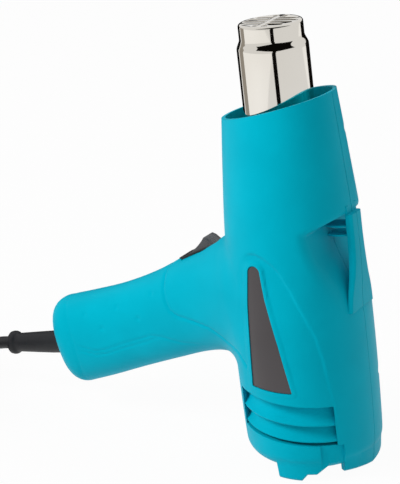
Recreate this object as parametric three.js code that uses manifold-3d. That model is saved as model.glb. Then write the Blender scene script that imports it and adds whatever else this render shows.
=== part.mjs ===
// Hot air tool: a heat gun with a closed moulded housing in two halves.
// It stands on its rear end with the nozzle up, and its blow axis leans back towards the handle.
// Units are millimetres. World axes: +Z up, the handle points to -X, the cord leaves at -X.
// Inside the leaning group, z runs along the blow axis (called height), y runs across the seam,
// and x points away from the handle. Inside the handle group, x runs from the butt to the barrel.
import * as THREE from 'three';
import { mergeVertices } from 'three/addons/utils/BufferGeometryUtils.js';
import Module from 'manifold-3d';

const wasm = await Module();
wasm.setup();

// Driving dimensions: stance and overall reach
const degree = Math.PI / 180;
const lean = 7.32 * degree;
const nozzleTop = 238;
const seamGap = 0.3;
const reach = 60;
const beyond = 80;
const seat = 0.3;
const weld = 0.01;
const wall = 2.4;

// Driving dimensions: barrel, as height, half width in x, half width in y, shift of its centre in x
const barrelStations = [
  [6, 34.6, 40.8, 1],
  [22, 35.5, 41.4, 1],
  [57, 36.2, 42, 1],
  [93, 36.1, 41.3, 1],
  [128, 35.8, 38.4, 0.8],
  [163, 33.6, 33.6, 0.4],
  [196, 31.2, 28.8, 0],
];
const barrelSides = 32;
const barrelLevels = 6;
const hollowSides = 16;
const hollowLevels = 5;
const rimLift = 6;
const rimRound = 8;
const baseFloor = 3;
const mouthSlope = 0.23;
const straightFrom = 70;
const straightTo = 130;

// Driving dimensions: handle, as distance from the butt, lower edge, upper edge, half width
const handleAngle = 12.68 * degree;
const handleRoot = new THREE.Vector3(-148.6, 0, 59.4);
const handleStations = [
  [2.5, -28, 21.9, 17],
  [25, -27.2, 21.8, 17],
  [47, -25.5, 22.4, 16.8],
  [70, -24.2, 25.4, 17.5],
  [91, -23.5, 30.4, 19.6],
  [105, -25.8, 33, 22.6],
  [116, -33, 36, 26.6],
  [128, -40, 38, 32.4],
  [141, -44, 40, 37.6],
];
const handleSides = 20;
const handleLevels = 7;
const handleHollowSides = 12;
const handleSquareness = 2.35;
const buttRound = 11;
const buttBulge = 1.2;

// Driving dimensions: rest feet under the rim, as turn angles from the -Y side towards +X
const footSide = { from: 0, to: 22, stepTo: 34, stepLift: 3 };
const footRidge = { from: 53 };
const footHandle = { from: -58 };
const footInset = 1.2;
const footThick = 9;
const footLap = 0.5;
const skirtCut = { from: 35, to: 53, depth: 1.4 };

// Driving dimensions: air intake window and its louvre blades, on both sides
const ventWindow = { left: -24, right: 27.5, top: 43.3, bottom: 21.4, slope: -0.18 };
const ventFrame = { wide: 2.4, depth: 6.2, side: 22 };
const louvre = { lips: [33.2, 24.2], lipInset: 0.5, rise: 9.4, run: 5.2, thick: 1.5 };

// Driving dimensions: label pocket in each side
const label = { tipX: -4.6, tipHeight: 113, tipRadius: 3.9, lowLeft: -12.8, lowRight: 10.7 };
const labelBottom = { left: 51.2, right: 48.2 };
const labelThick = 0.9;
const labelPocket = 1.3;

// Driving dimensions: hanging bridge over a recess that runs through from side to side, with
// heights from the flange of the blow tube
const recess = { lowX: 35.2, low: -48.8, lip: 4, deepX: 21.8, deep: -17.2, step: -9.3, stepSlope: 0.38 };
const recessWall = 2.2;
const bridgeStations = [
  [-56.2, 34.9, 36.9, 14],
  [-47.2, 34.9, 37.4, 12.4],
  [-38.2, 34.9, 38.1, 9.3],
  [-28.2, 34.9, 38.5, 7.3],
  [-17.2, 34.8, 38.5, 6.5],
  [-4.7, 34.8, 38.4, 6.5],
];
const bridgeRoot = { thick: 0.9, length: 4.5, inset: 0.5 };

// Driving dimensions: blow tube
const tube = { tip: 17, wide: 18.8, wall: 0.9, collar: 8.8, shoulder: 3.6, rim: 1.6 };
const shoulderTop = nozzleTop - tube.collar;
const shoulderBottom = shoulderTop - tube.shoulder;
const tubeFlange = { aboveNeck: 9.2, thick: 1.2, radius: 24 };
const grille = { rows: 6, pitch: 4.9, slot: 2.7, web: 3, reach: 14.2 };

// Driving dimensions: plates across the inside of the barrel
const rib = { thick: 1.4, belowNeck: 5 };

// Driving dimensions: heater
const sleeve = { wall: 0.6, clearance: 0.5, shortOfShoulder: 1.6 };
const sleeveOuter = tube.wide - tube.wall - sleeve.clearance;
const sleeveInner = sleeveOuter - sleeve.wall;
const heaterBase = { above: 1.6, thick: 2, spoke: 3, rim: 2 };
const core = { radius: 11.4, groove: 2.6, lobes: 6, bore: 2.2, shortOfSleeve: 2 };
const winding = { wire: 0.7, turns: 6, inFromEnds: 6 };
const cutoff = { from: 4.4, to: 10.4, wide: 5.2, high: 3.4 };

// Driving dimensions: fan, motor and air duct
const duct = { inlet: 49, inner: 27, wall: 1.5, flange: 31.4, coneFrom: 93, neckLong: 11, neckTo: 132 };
const flangeHeight = duct.neckTo + tubeFlange.aboveNeck;
const neckInner = sleeveInner + 0.1;
const heaterFootTop = duct.neckTo + heaterBase.above + heaterBase.thick;
const coreFrom = heaterFootTop + seat;
const sleeveTo = shoulderBottom - sleeve.shortOfShoulder;
const coreTo = sleeveTo - core.shortOfSleeve;
const stator = { from: 79, to: 92, hubWall: 1.2, vanes: 6, vaneThick: 1.3 };
const motor = { radius: 16, wall: 1.1, from: 71, to: 105, bell: 6 };
const statorHub = motor.radius + 2 * seat;
const bellTop = motor.to + motor.bell;
const shaft = { radius: 1.6, from: 53.5, pastBell: 1.4 };
const running = 0.05;
const shaftSides = 12;
const bearing = { radius: 4.2, length: 4.5 };
const fan = { from: 56, to: 67, hub: 9.5, blades: 7, gap: 0.8, bladeThick: 1.3, twist: 38 * degree };
const magnet = { thick: 2.4, arc: 125 * degree, from: 75, to: 96 };
const magnetOuter = motor.radius - motor.wall - seat;
const armature = { airGap: 1, from: 77, to: 93, poles: 5, slot: 2.6 };
const commutator = { radius: 4.6, from: 96, to: 103, gap: 0.8 };
const brush = { wide: 3, high: 4.5, gap: 0.15 };
const bellWall = 1.4;
const bearingFrom = { rear: motor.from - 1.7, front: bellTop - bearing.length - 0.4 };
const board = { thick: 1.6, radius: 13.5, standoff: 3.6, bore: 3, leg: 1.6, legAt: 10 };
const diode = { x: 5.5, y: 6, long: 4.4, wide: 2.6, high: 2.6 };

// Driving dimensions: rocker switch in the top of the handle
const rockerPlace = { x: 104.3, z: 32.1, tilt: 7.7 * degree };
const bezel = { rim: 1.1, lip: 1.2 };
const switchBody = { length: 25.4, width: 13, depth: 19, wall: 0.8, floor: 6 };
const switchTab = { pitch: 7, wide: 4.8, thick: 0.8, long: 7 };
const rocker = { pin: 1.2, pinClearance: 0.08, pivotDrop: 3.2, skirt: 0.6, neck: 0.4 };
const rockerHub = { bottom: 3, top: 4.6, drop: 3 };
const rockerTop = { peak: 6.4, peakAt: 7.4, middle: 3.6, low: 1.3, high: 2.3 };

// Driving dimensions: wiring parts in the handle
const block = { from: 45, to: 61, high: 9, wide: 20, z: -4 };
const blockWell = { radius: 1.9, deep: 4, pitch: 6.2, fromEnd: 4 };
const blockRib = 2;
const relief = { x: -9.6, z: -2.9, angle: 8.6 * degree, outside: 31, inside: 9 };
const reliefSleeve = { root: 6.3, end: 5.3, collar: 6.7 };
const reliefFlange = { radius: 9, thick: 2.4, wall: 7.2 };
const cordRadius = 3.5;
const cordDrop = -5;
const clampBar = { x: 22, wide: 9, long: 25, high: 5.8, spread: 8.4, post: 3.2 };
const clampScrew = { shank: 1.3, head: 2.6, headHigh: 1.8, depth: 7 };

// Driving dimensions: housing screws, all driven from the +Y side
const screw = { shank: 1.9, head: 3.5, headHigh: 2.2, seatY: 8.6, tipY: -7.6 };
const screwWell = { hole: 0.5, boss: 3.7, cup: 5.4 };
const barrelScrews = [
  [27, 178],
  [-27, 172],
  [30.4, 43],
  [-30, 36],
];
const handleScrews = [
  [88, -17],
  [62, 16.4],
  [9, 13.2],
];

// Driving dimensions: cord on the floor, its coil, tie and plug
const tie = { thick: 0.8, wide: 12, angle: 35 * degree, slack: 1.2 };
const coil = { x: -262, y: -38, middle: 40, pitch: 7.6, rise: 7.6, turns: 8.25, layers: 4 };
const coilMesh = { steps: 20, sides: 6 };
const plug = { pin: 2.4, pinLong: 19, pinSpread: 9.5, pinDepth: 6 };
const plugStations = [
  [0, 4.6, 4.6],
  [14, 5.2, 5.2],
  [18, 7, 6.8],
  [32, 12.6, 10.6],
  [43, 17.6, 12.8],
  [54, 18, 13],
  [57, 16.8, 11.8],
];

// Materials
const plastic = { color: 0x009fbc, roughness: 0.42, metalness: 0 };
const blackPlastic = { color: 0x232427, roughness: 0.5, metalness: 0 };
const greyPlastic = { color: 0x5b5b60, roughness: 0.5, metalness: 0 };
const rubber = { color: 0x2b2b2f, roughness: 0.75, metalness: 0 };
const chromed = { color: 0xd8d4cc, roughness: 0.12, metalness: 1 };
const steel = { color: 0xb4b6b8, roughness: 0.35, metalness: 1 };
const ceramic = { color: 0xe8e2d4, roughness: 0.7, metalness: 0 };
const mica = { color: 0xb9ab8c, roughness: 0.5, metalness: 0 };
const copper = { color: 0xb4713d, roughness: 0.35, metalness: 1 };
const carbon = { color: 0x202020, roughness: 0.8, metalness: 0.1 };
const labelFilm = { color: 0x4f4a4c, roughness: 0.4, metalness: 0 };
const brass = { color: 0xc2a25a, roughness: 0.3, metalness: 1 };

// Helpers: closed meshes and solids
function closed(geometry) {
  const bare = new THREE.BufferGeometry();
  bare.setAttribute('position', geometry.getAttribute('position').clone());
  if (geometry.index) bare.setIndex(geometry.index.clone());
  const merged = mergeVertices(bare, 1e-4);
  const kept = [];
  const index = merged.index.array;
  for (let i = 0; i < index.length; i += 3) {
    const [a, b, c] = [index[i], index[i + 1], index[i + 2]];
    if (a !== b && b !== c && c !== a) kept.push(a, b, c);
  }
  merged.setIndex(kept);
  return merged;
}

function solid(geometry) {
  const whole = closed(geometry);
  return new wasm.Manifold(new wasm.Mesh({
    numProp: 3,
    vertProperties: new Float32Array(whole.getAttribute('position').array),
    triVerts: new Uint32Array(whole.index.array),
  }));
}

function geometryOf(body) {
  const mesh = body.getMesh();
  const geometry = new THREE.BufferGeometry();
  geometry.setAttribute('position', new THREE.BufferAttribute(mesh.vertProperties, 3));
  geometry.setIndex(new THREE.BufferAttribute(mesh.triVerts, 1));
  return geometry;
}

// A cut body without the slivers that cuts leave: edges shorter than weld collapse to a point, and
// a face with no height gives its longest edge to its neighbour
function tidied(geometry) {
  const at = geometry.getAttribute('position');
  const index = Array.from(geometry.index.array);
  const points = Array.from({ length: at.count }, (_, i) => new THREE.Vector3().fromBufferAttribute(at, i));
  const stand = points.map((_, i) => i);
  const root = (i) => {
    while (stand[i] !== i) i = stand[i];
    return i;
  };
  for (let i = 0; i < index.length; i++) {
    const [a, b] = [index[i], index[i % 3 === 2 ? i - 2 : i + 1]];
    if (points[a].distanceTo(points[b]) < weld) stand[root(a)] = root(b);
  }
  let faces = [];
  for (let i = 0; i < index.length; i += 3) {
    const face = [root(index[i]), root(index[i + 1]), root(index[i + 2])];
    if (new Set(face).size === 3) faces.push(face);
  }
  for (let pass = 0; pass < 3; pass++) faces = withoutFlatFaces(faces, points);
  const clean = new THREE.BufferGeometry();
  clean.setAttribute('position', at.clone());
  clean.setIndex(faces.flat());
  return clean;
}

function withoutFlatFaces(faces, points) {
  const height = ([a, b, c]) => {
    const edge = points[b].clone().sub(points[a]);
    return edge.clone().cross(points[c].clone().sub(points[a])).length() / edge.length();
  };
  const owner = new Map(faces.flatMap((face, f) => face.map((a, k) => [`${a},${face[(k + 1) % 3]}`, f])));
  const changed = new Set();
  faces.forEach((face, f) => {
    const turns = [0, 1, 2].map((k) => [face[k], face[(k + 1) % 3], face[(k + 2) % 3]]);
    const [a, b, c] = turns.sort((p, q) => height(p) - height(q))[0];
    const other = owner.get(`${b},${a}`);
    if (height([a, b, c]) > weld / 10 || changed.has(f) || changed.has(other)) return;
    const d = faces[other].find((corner) => corner !== a && corner !== b);
    if (owner.has(`${c},${d}`) || owner.has(`${d},${c}`)) return;
    faces[f] = [a, d, c];
    faces[other] = [d, b, c];
    changed.add(f).add(other);
  });
  return faces;
}

const joined = (bodies) => bodies.reduce((whole, body) => whole.add(body));

function mirrored(geometry) {
  const other = geometry.clone();
  other.scale(1, -1, 1);
  const index = other.index.array;
  for (let i = 0; i < index.length; i += 3) [index[i], index[i + 1]] = [index[i + 1], index[i]];
  return other;
}

const both = (geometry) => solid(geometry).add(solid(mirrored(closed(geometry))));

// A closed skin over rings of equal point counts, each ring seen counter-clockwise from its far end
function loft(rings) {
  const sides = rings[0].length;
  const positions = rings.flat().flatMap((point) => [point.x, point.y, point.z]);
  const index = [];
  for (let r = 0; r < rings.length - 1; r++) {
    for (let i = 0; i < sides; i++) {
      const next = (i + 1) % sides;
      const [a, b, c, d] = [r * sides + i, r * sides + next, (r + 1) * sides + next, (r + 1) * sides + i];
      index.push(a, b, c, a, c, d);
    }
  }
  for (const [ring, start, turn] of [[rings[0], 0, -1], [rings.at(-1), (rings.length - 1) * sides, 1]]) {
    const middle = ring.reduce((sum, point) => sum.add(point), new THREE.Vector3()).divideScalar(sides);
    const hub = positions.length / 3;
    positions.push(middle.x, middle.y, middle.z);
    for (let i = 0; i < sides; i++) {
      const [a, b] = [start + i, start + ((i + 1) % sides)];
      index.push(hub, ...(turn > 0 ? [a, b] : [b, a]));
    }
  }
  const geometry = new THREE.BufferGeometry();
  geometry.setAttribute('position', new THREE.Float32BufferAttribute(positions, 3));
  geometry.setIndex(index);
  return geometry;
}

// A turned body about z from a closed profile of [radius, height] points
function turned(profile, sides = 32) {
  const points = profile.map(([radius, height]) => new THREE.Vector2(radius, height));
  if (THREE.ShapeUtils.area(points) < 0) points.reverse();
  points.push(points[0].clone());
  return new THREE.LatheGeometry(points, sides).rotateX(Math.PI / 2);
}

const ring = (inner, outer, from, to, sides) =>
  turned([[inner, from], [outer, from], [outer, to], [inner, to]], sides);

const disc = (radius, from, to, sides = 32) =>
  new THREE.CylinderGeometry(radius, radius, to - from, sides)
    .rotateX(Math.PI / 2)
    .translate(0, 0, (from + to) / 2);

function rod(radius, start, end, sides = 16) {
  const along = end.clone().sub(start);
  const geometry = new THREE.CylinderGeometry(radius, radius, along.length(), sides);
  const turn = new THREE.Quaternion().setFromUnitVectors(new THREE.Vector3(0, 1, 0), along.normalize());
  return geometry.applyQuaternion(turn).translate(...start.clone().add(end).multiplyScalar(0.5).toArray());
}

const box = (x0, x1, y0, y1, z0, z1) =>
  new THREE.BoxGeometry(x1 - x0, y1 - y0, z1 - z0).translate((x0 + x1) / 2, (y0 + y1) / 2, (z0 + z1) / 2);

// A plate with an outline in x and z, from y0 to y1
function plate(outline, y0, y1) {
  const points = outline instanceof THREE.Shape ? null : outline.map(([x, z]) => new THREE.Vector2(x, z));
  const shape = points ? new THREE.Shape(points) : outline;
  return new THREE.ExtrudeGeometry(shape, { depth: y1 - y0, bevelEnabled: false, curveSegments: 5 })
    .rotateX(Math.PI / 2)
    .translate(0, y1, 0);
}

// Smooth value of one column of a station list at a place along it
function smooth(stations, place, column) {
  const last = stations.length - 1;
  let i = 0;
  while (i < last - 1 && place > stations[i + 1][0]) i++;
  const [near, far] = [stations[i], stations[i + 1]];
  const span = far[0] - near[0];
  const slope = (k) => {
    const [before, after] = [stations[Math.max(k - 1, 0)], stations[Math.min(k + 1, last)]];
    return (after[column] - before[column]) / (after[0] - before[0]);
  };
  const t = (place - near[0]) / span;
  const [t2, t3] = [t * t, t * t * t];
  return near[column] * (2 * t3 - 3 * t2 + 1) + far[column] * (3 * t2 - 2 * t3)
    + slope(i) * span * (t3 - 2 * t2 + t) + slope(i + 1) * span * (t3 - t2);
}

const around = (count) => Array.from({ length: count }, (_, i) => (2 * Math.PI * i) / count);

const steps = (from, to, count) =>
  Array.from({ length: count + 1 }, (_, i) => from + ((to - from) * i) / count);

// Barrel: rings that lie parallel to the floor at the rear, square to the blow axis in the
// middle, and parallel to the slanted mouth at the front
function barrelTilt(height) {
  if (height < straightFrom) return -Math.tan(lean) * (1 - height / straightFrom);
  if (height > straightTo) return mouthSlope * ((height - straightTo) / (mouthTop - straightTo)) ** 1.5;
  return 0;
}

const mouthTop = barrelStations.at(-1)[0];
const barrelLow = barrelStations[0][0];

function barrelPoint(height, inset, turn) {
  const place = Math.max(height, barrelLow);
  const x = smooth(barrelStations, place, 3) + (smooth(barrelStations, place, 1) - inset) * Math.sin(turn);
  const y = -(smooth(barrelStations, place, 2) - inset) * Math.cos(turn);
  return new THREE.Vector3(x, y, height + barrelTilt(height) * x);
}

const barrelRing = (height, inset, sides = barrelSides) =>
  Array.from({ length: sides }, (_, i) => barrelPoint(height, inset, (2 * Math.PI * i) / sides));

const roundedStart = (from, radius, count) =>
  steps(0, Math.PI / 2, count).map((a) => [from + radius * (1 - Math.cos(a)), radius * (1 - Math.sin(a))]);

function barrelBody(inset, low, top, sides = barrelSides, levels = barrelLevels) {
  const round = Math.max(rimRound - inset, 2);
  const start = roundedStart(low, round, 3);
  const rest = steps(low + round, top, levels).slice(1);
  return loft([
    ...start.map(([height, extra]) => barrelRing(height, inset + extra, sides)),
    ...rest.map((height) => barrelRing(height, inset, sides)),
  ]);
}

const barrelHollow = (inset) =>
  solid(barrelBody(inset, rimLift + baseFloor, mouthTop + 8, hollowSides, hollowLevels));

// Handle: rings across its length, rounded at the butt, flared where it meets the barrel
function handleRing(x, inset, sides) {
  const place = Math.max(x, handleStations[0][0]);
  const low = smooth(handleStations, place, 1);
  const high = smooth(handleStations, place, 2);
  const wide = smooth(handleStations, place, 3) - inset;
  const tall = (high - low) / 2 - inset;
  const power = 2 / handleSquareness;
  return Array.from({ length: sides }, (_, i) => {
    const turn = (2 * Math.PI * i) / sides;
    const [c, s] = [Math.cos(turn), Math.sin(turn)];
    const y = wide * Math.sign(c) * Math.abs(c) ** power;
    return new THREE.Vector3(x, y, (low + high) / 2 + tall * Math.sign(s) * Math.abs(s) ** power);
  });
}

const handleFrame = new THREE.Matrix4().makeRotationY(-handleAngle).setPosition(handleRoot);

function handleBody(inset, sides = handleSides, levels = handleLevels) {
  const round = buttRound - inset;
  const start = handleStations[0][0] - buttRound + inset;
  const end = handleStations.at(-1)[0];
  const places = [
    [start - buttBulge, round * 1.4],
    ...roundedStart(start, round, 3),
    ...steps(start + round, end, levels).slice(1).map((x) => [x, 0]),
  ];
  return loft(places.map(([x, extra]) => handleRing(x, inset + extra, sides))).applyMatrix4(handleFrame);
}

const inHandle = (geometry) => geometry.applyMatrix4(handleFrame);

// Recess and bridge
const recessFloor = (inset) => {
  const { lowX, low, lip, deepX, deep, step, stepSlope } = recess;
  const top = (x) => step + stepSlope * (x - deepX) + inset;
  return [
    [reach, low - lip - inset],
    [lowX + lip / 2 - inset, low - lip - inset],
    [lowX - inset, low],
    [deepX - inset, deep],
    [deepX - inset, top(deepX)],
    [reach, top(reach)],
  ].map(([x, height]) => [x, height + flangeHeight]);
};

function bridgeRing(height, inner, outer, half) {
  const corner = 1.4;
  const cut = corner * 0.3;
  return [
    [inner, -half],
    [outer - corner, -half],
    [outer - cut, -half + cut],
    [outer, -half + corner],
    [outer, half - corner],
    [outer - cut, half - cut],
    [outer - corner, half],
    [inner, half],
  ].map(([x, y]) => new THREE.Vector3(x, y, height));
}

function bridgeBody() {
  const [low, high] = [bridgeStations[0][0], bridgeStations.at(-1)[0]];
  const rings = steps(low, high, 8).map((height) =>
    bridgeRing(height, ...[1, 2, 3].map((column) => smooth(bridgeStations, height, column))));
  const [, inner, , half] = bridgeStations.at(-1);
  for (const height of [high + 0.1, high + bridgeRoot.length]) {
    rings.push(bridgeRing(height, inner, inner + bridgeRoot.thick, half - bridgeRoot.inset));
  }
  return loft(rings).translate(0, 0, flangeHeight);
}

// Air intake window, its deep frame and its louvre blades
function windowOutline(grow) {
  const { left, right, top, bottom, slope } = ventWindow;
  return [
    [left - grow, bottom - slope * 3 + slope * left - grow],
    [right + grow, bottom + slope * right - grow],
    [right + grow, top + slope * right + grow],
    [left - grow, top + slope * left + grow],
  ];
}

function louvreBlade(lip) {
  const angles = steps(-50 * degree, 58 * degree, 9);
  const rings = angles.map((turn) => {
    const lipPoint = (inset, up) => {
      const point = barrelPoint(lip + up, inset, turn);
      point.z = lip + up + ventWindow.slope * point.x;
      return point;
    };
    const { lipInset, rise, run, thick } = louvre;
    return [
      lipPoint(lipInset, 0),
      lipPoint(lipInset + thick, 0),
      lipPoint(lipInset + run * 0.62 + thick * 0.7, rise * 0.45),
      lipPoint(lipInset + run + thick * 0.6, rise),
      lipPoint(lipInset + run - thick * 0.4, rise),
      lipPoint(lipInset + run * 0.62 - thick * 0.3, rise * 0.45),
    ];
  });
  return loft(rings);
}

// Rest feet: sectors of a ring under the rim
function footRing() {
  const top = rimLift + rimRound;
  const outer = loft([barrelRing(0, footInset + 1), barrelRing(top, 0.4)]);
  const inner = loft([barrelRing(-2, footInset + footThick), barrelRing(top + 2, footInset + footThick)]);
  return solid(outer).subtract(solid(inner));
}

function sector(from, to, low, high) {
  const points = [new THREE.Vector2(0, 0)];
  for (const turn of steps(from * degree, to * degree, 4)) {
    points.push(new THREE.Vector2(beyond * Math.sin(turn), -beyond * Math.cos(turn)));
  }
  const shape = new THREE.Shape(points);
  const geometry = new THREE.ExtrudeGeometry(shape, { depth: high - low, bevelEnabled: false });
  return geometry.translate(smooth(barrelStations, barrelLow, 3), 0, low).rotateY(lean);
}

function feet() {
  const rings = footRing();
  const wedges = [];
  for (const mirror of [false, true]) {
    const side = (geometry) => solid(mirror ? mirrored(closed(geometry)) : geometry);
    wedges.push(side(sector(footSide.from, footSide.to, -5, 20)));
    wedges.push(side(sector(footSide.to - footLap, footSide.stepTo, footSide.stepLift, 20)));
    wedges.push(side(sector(footRidge.from, 90 + footLap, -5, 20)));
    wedges.push(side(sector(-90 - footLap, footHandle.from, -5, 20)));
  }
  return rings.intersect(joined(wedges));
}

// Label plate and its pocket
function labelOutline(grow) {
  const { tipX, tipHeight, tipRadius, lowLeft, lowRight } = label;
  const shape = new THREE.Shape();
  shape.moveTo(lowLeft - grow, labelBottom.left - grow);
  shape.lineTo(lowRight + grow, labelBottom.right - grow);
  shape.lineTo(tipX + tipRadius + grow, tipHeight);
  shape.absarc(tipX, tipHeight, tipRadius + grow, 0, Math.PI, false);
  shape.closePath();
  return shape;
}

const skinBand = (outerInset, innerInset) =>
  solid(barrelBody(outerInset, rimLift, mouthTop))
    .subtract(solid(barrelBody(innerInset, rimLift - 2, mouthTop + 4)));

function labelPlate() {
  const outline = plate(labelOutline(-seat), -reach, -ventFrame.side);
  return skinBand(0.1, labelThick).intersect(solid(outline));
}

// Rocker switch seat: local x along the handle, z out of the handle
const switchFrame = new THREE.Matrix4()
  .makeRotationY(-rockerPlace.tilt)
  .setPosition(rockerPlace.x, 0, rockerPlace.z)
  .premultiply(handleFrame);

// Block with the outline of the switch body, made larger or smaller all round
const switchBlock = (grow, low, high) => {
  const [length, width] = [switchBody.length / 2 + grow, switchBody.width / 2 + grow];
  return box(-length, length, -width, width, low, high);
};

// Cord relief seat: local x points out of the butt along the relief
const reliefFrame = new THREE.Matrix4()
  .makeRotationY(Math.PI + relief.angle)
  .setPosition(relief.x, 0, relief.z)
  .premultiply(handleFrame);

// Places along y of a screw at [x, z] in the barrel or in the handle
const screwSpots = [
  ...barrelScrews.map(([x, z]) => new THREE.Vector3(x, 0, z)),
  ...handleScrews.map(([x, z]) => new THREE.Vector3(x, 0, z).applyMatrix4(handleFrame)),
];

// Places of the two clamp screws, on both sides of the cord
const clampSpots = [-1, 1].map((side) =>
  new THREE.Vector3(clampBar.x, 0, cordDrop + side * clampBar.spread).applyMatrix4(handleFrame));

const across = (spot, radius, y0, y1, sides) =>
  rod(radius, new THREE.Vector3(spot.x, y0, spot.z), new THREE.Vector3(spot.x, y1, spot.z), sides);

// Moulded housing, before it is parted along the seam
function housing() {
  const recessBody = solid(plate(recessFloor(0), -reach, reach));
  const outer = joined([solid(barrelBody(0, rimLift, mouthTop)), solid(handleBody(0))])
    .subtract(recessBody)
    .add(solid(bridgeBody()))
    .add(feet());
  const inner = barrelHollow(wall)
    .add(solid(handleBody(wall, handleHollowSides, hollowLevels)))
    .subtract(solid(plate(recessFloor(recessWall), -reach, reach)));
  const frame = solid(barrelBody(0.6, rimLift, mouthTop))
    .subtract(solid(barrelBody(ventFrame.depth, rimLift + baseFloor, mouthTop + 8)))
    .intersect(both(plate(windowOutline(ventFrame.wide), -reach, -ventFrame.side)));
  const blades = joined(louvre.lips.map((lip) => both(louvreBlade(lip))))
    .intersect(solid(barrelBody(0.2, rimLift, mouthTop)))
    .intersect(both(plate(windowOutline(ventFrame.wide / 2), -reach, -ventFrame.side)));
  const bosses = joined(screwSpots.map((spot) => solid(across(spot, screwWell.boss, -reach, reach, 6))));
  const cups = joined(screwSpots.map((spot) =>
    solid(across(spot, screwWell.cup, screw.seatY - 2, reach, 8))));
  return outer.subtract(inner)
    .add(joined([ribPlates(), handleRibs(), bosses, cups]).intersect(outer))
    .add(frame)
    .subtract(both(plate(windowOutline(0), -reach, -ventFrame.side)))
    .add(blades)
    .subtract(joined([both(skirtRecess()), labelPockets(), holes()]));
}

// Plates across the barrel that carry the air duct and the blow tube
function ribPlates() {
  const ductOuter = duct.inner + duct.wall;
  const levels = [
    [duct.inlet - seat - rib.thick, ductOuter - rib.thick],
    [duct.neckTo - rib.belowNeck, neckInner + duct.wall + seat],
    [flangeHeight - seat - rib.thick, tube.wide + seat],
    [flangeHeight + tubeFlange.thick + seat, tube.wide + seat],
  ];
  const rings = levels.map(([from, bore]) => solid(ring(bore, reach, from, from + rib.thick, 20)));
  return joined(rings).intersect(barrelHollow(wall / 2));
}

// Plates across the handle that carry the terminal block and the relief flange
function handleRibs() {
  const slabs = [block.from + 1.5, block.to - 1.5 - blockRib].map((x) =>
    solid(inHandle(box(x, x + blockRib, -reach, reach, -reach, reach))));
  const half = block.wide / 2 + seat;
  const low = block.z - block.high / 2 - seat;
  const cradle = solid(inHandle(box(block.from - 5, block.to + 5, -half, half, low, reach)));
  const flangeFront = reliefFlange.thick - relief.inside + seat;
  const bore = reliefSleeve.root + seat;
  const collarWall = solid(ring(bore, bore + reliefFlange.wall, flangeFront, flangeFront + blockRib, 12)
    .rotateY(Math.PI / 2)
    .applyMatrix4(reliefFrame));
  const posts = clampSpots.map((spot) => solid(across(spot, clampBar.post, -reach, -seamGap, 6)));
  return joined(slabs).subtract(cradle).add(joined([collarWall, ...posts]));
}

const skirtRecess = () => {
  const { from, to, depth } = skirtCut;
  const cutter = solid(sector(from, to, -5, reach)).subtract(solid(barrelBody(depth, -4, mouthTop)));
  const fall = ventWindow.slope * reach;
  const belowWindow = plate([
    [-reach, -reach],
    [reach, -reach],
    [reach, ventWindow.bottom + fall + 0.4],
    [-reach, ventWindow.bottom - fall + 0.4],
  ], -reach, reach);
  return geometryOf(cutter.intersect(solid(belowWindow)));
};

const labelPockets = () => both(geometryOf(
  solid(plate(labelOutline(0), -reach, -ventFrame.side))
    .subtract(solid(barrelBody(labelPocket, rimLift, mouthTop)))));

function holes() {
  const cuts = [];
  for (const spot of screwSpots) {
    cuts.push(solid(across(spot, screw.head + screwWell.hole, screw.seatY, reach, 8)));
    cuts.push(solid(across(spot, screw.shank + screwWell.hole, screw.tipY - 0.8, screw.seatY + 1, 6)));
  }
  for (const spot of clampSpots) {
    cuts.push(solid(across(spot, clampScrew.shank + screwWell.hole, -clampScrew.depth - 1, 1, 6)));
  }
  cuts.push(solid(switchBlock(seat, -8, 14).applyMatrix4(switchFrame)));
  cuts.push(solid(switchBlock(bezel.rim + seat, -seat, 14).applyMatrix4(switchFrame)));
  const [bore, start] = [reliefSleeve.root + seat, new THREE.Vector3(-relief.inside, 0, 0)];
  cuts.push(solid(rod(bore, start, new THREE.Vector3(20, 0, 0), 14).applyMatrix4(reliefFrame)));
  return joined(cuts);
}

// Scene graph: the leaning tool, the handle inside it, and the cord on the floor
const hotAirTool = new THREE.Group();
const tool = new THREE.Group();
tool.rotation.y = -lean;
hotAirTool.add(tool);
const handle = new THREE.Group();
handle.rotation.y = -handleAngle;
handle.position.copy(handleRoot);
tool.add(handle);

function place(name, shape, finish, parent = tool) {
  const geometry = shape.isBufferGeometry ? closed(shape) : tidied(geometryOf(shape));
  const faces = geometry.toNonIndexed();
  faces.computeVertexNormals();
  const mesh = new THREE.Mesh(faces, new THREE.MeshStandardMaterial(finish));
  mesh.name = name;
  parent.add(mesh);
  return mesh;
}

// Housing halves
const shell = housing();
const far = 400;
place('housing_left', shell.intersect(solid(box(-far, far, -far, -seamGap / 2, -far, far))), plastic);
place('housing_right', shell.intersect(solid(box(-far, far, seamGap / 2, far, -far, far))), plastic);

// Label plates
const plateLeft = tidied(geometryOf(labelPlate()));
place('label_left', plateLeft, labelFilm);
place('label_right', mirrored(plateLeft), labelFilm);

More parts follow.
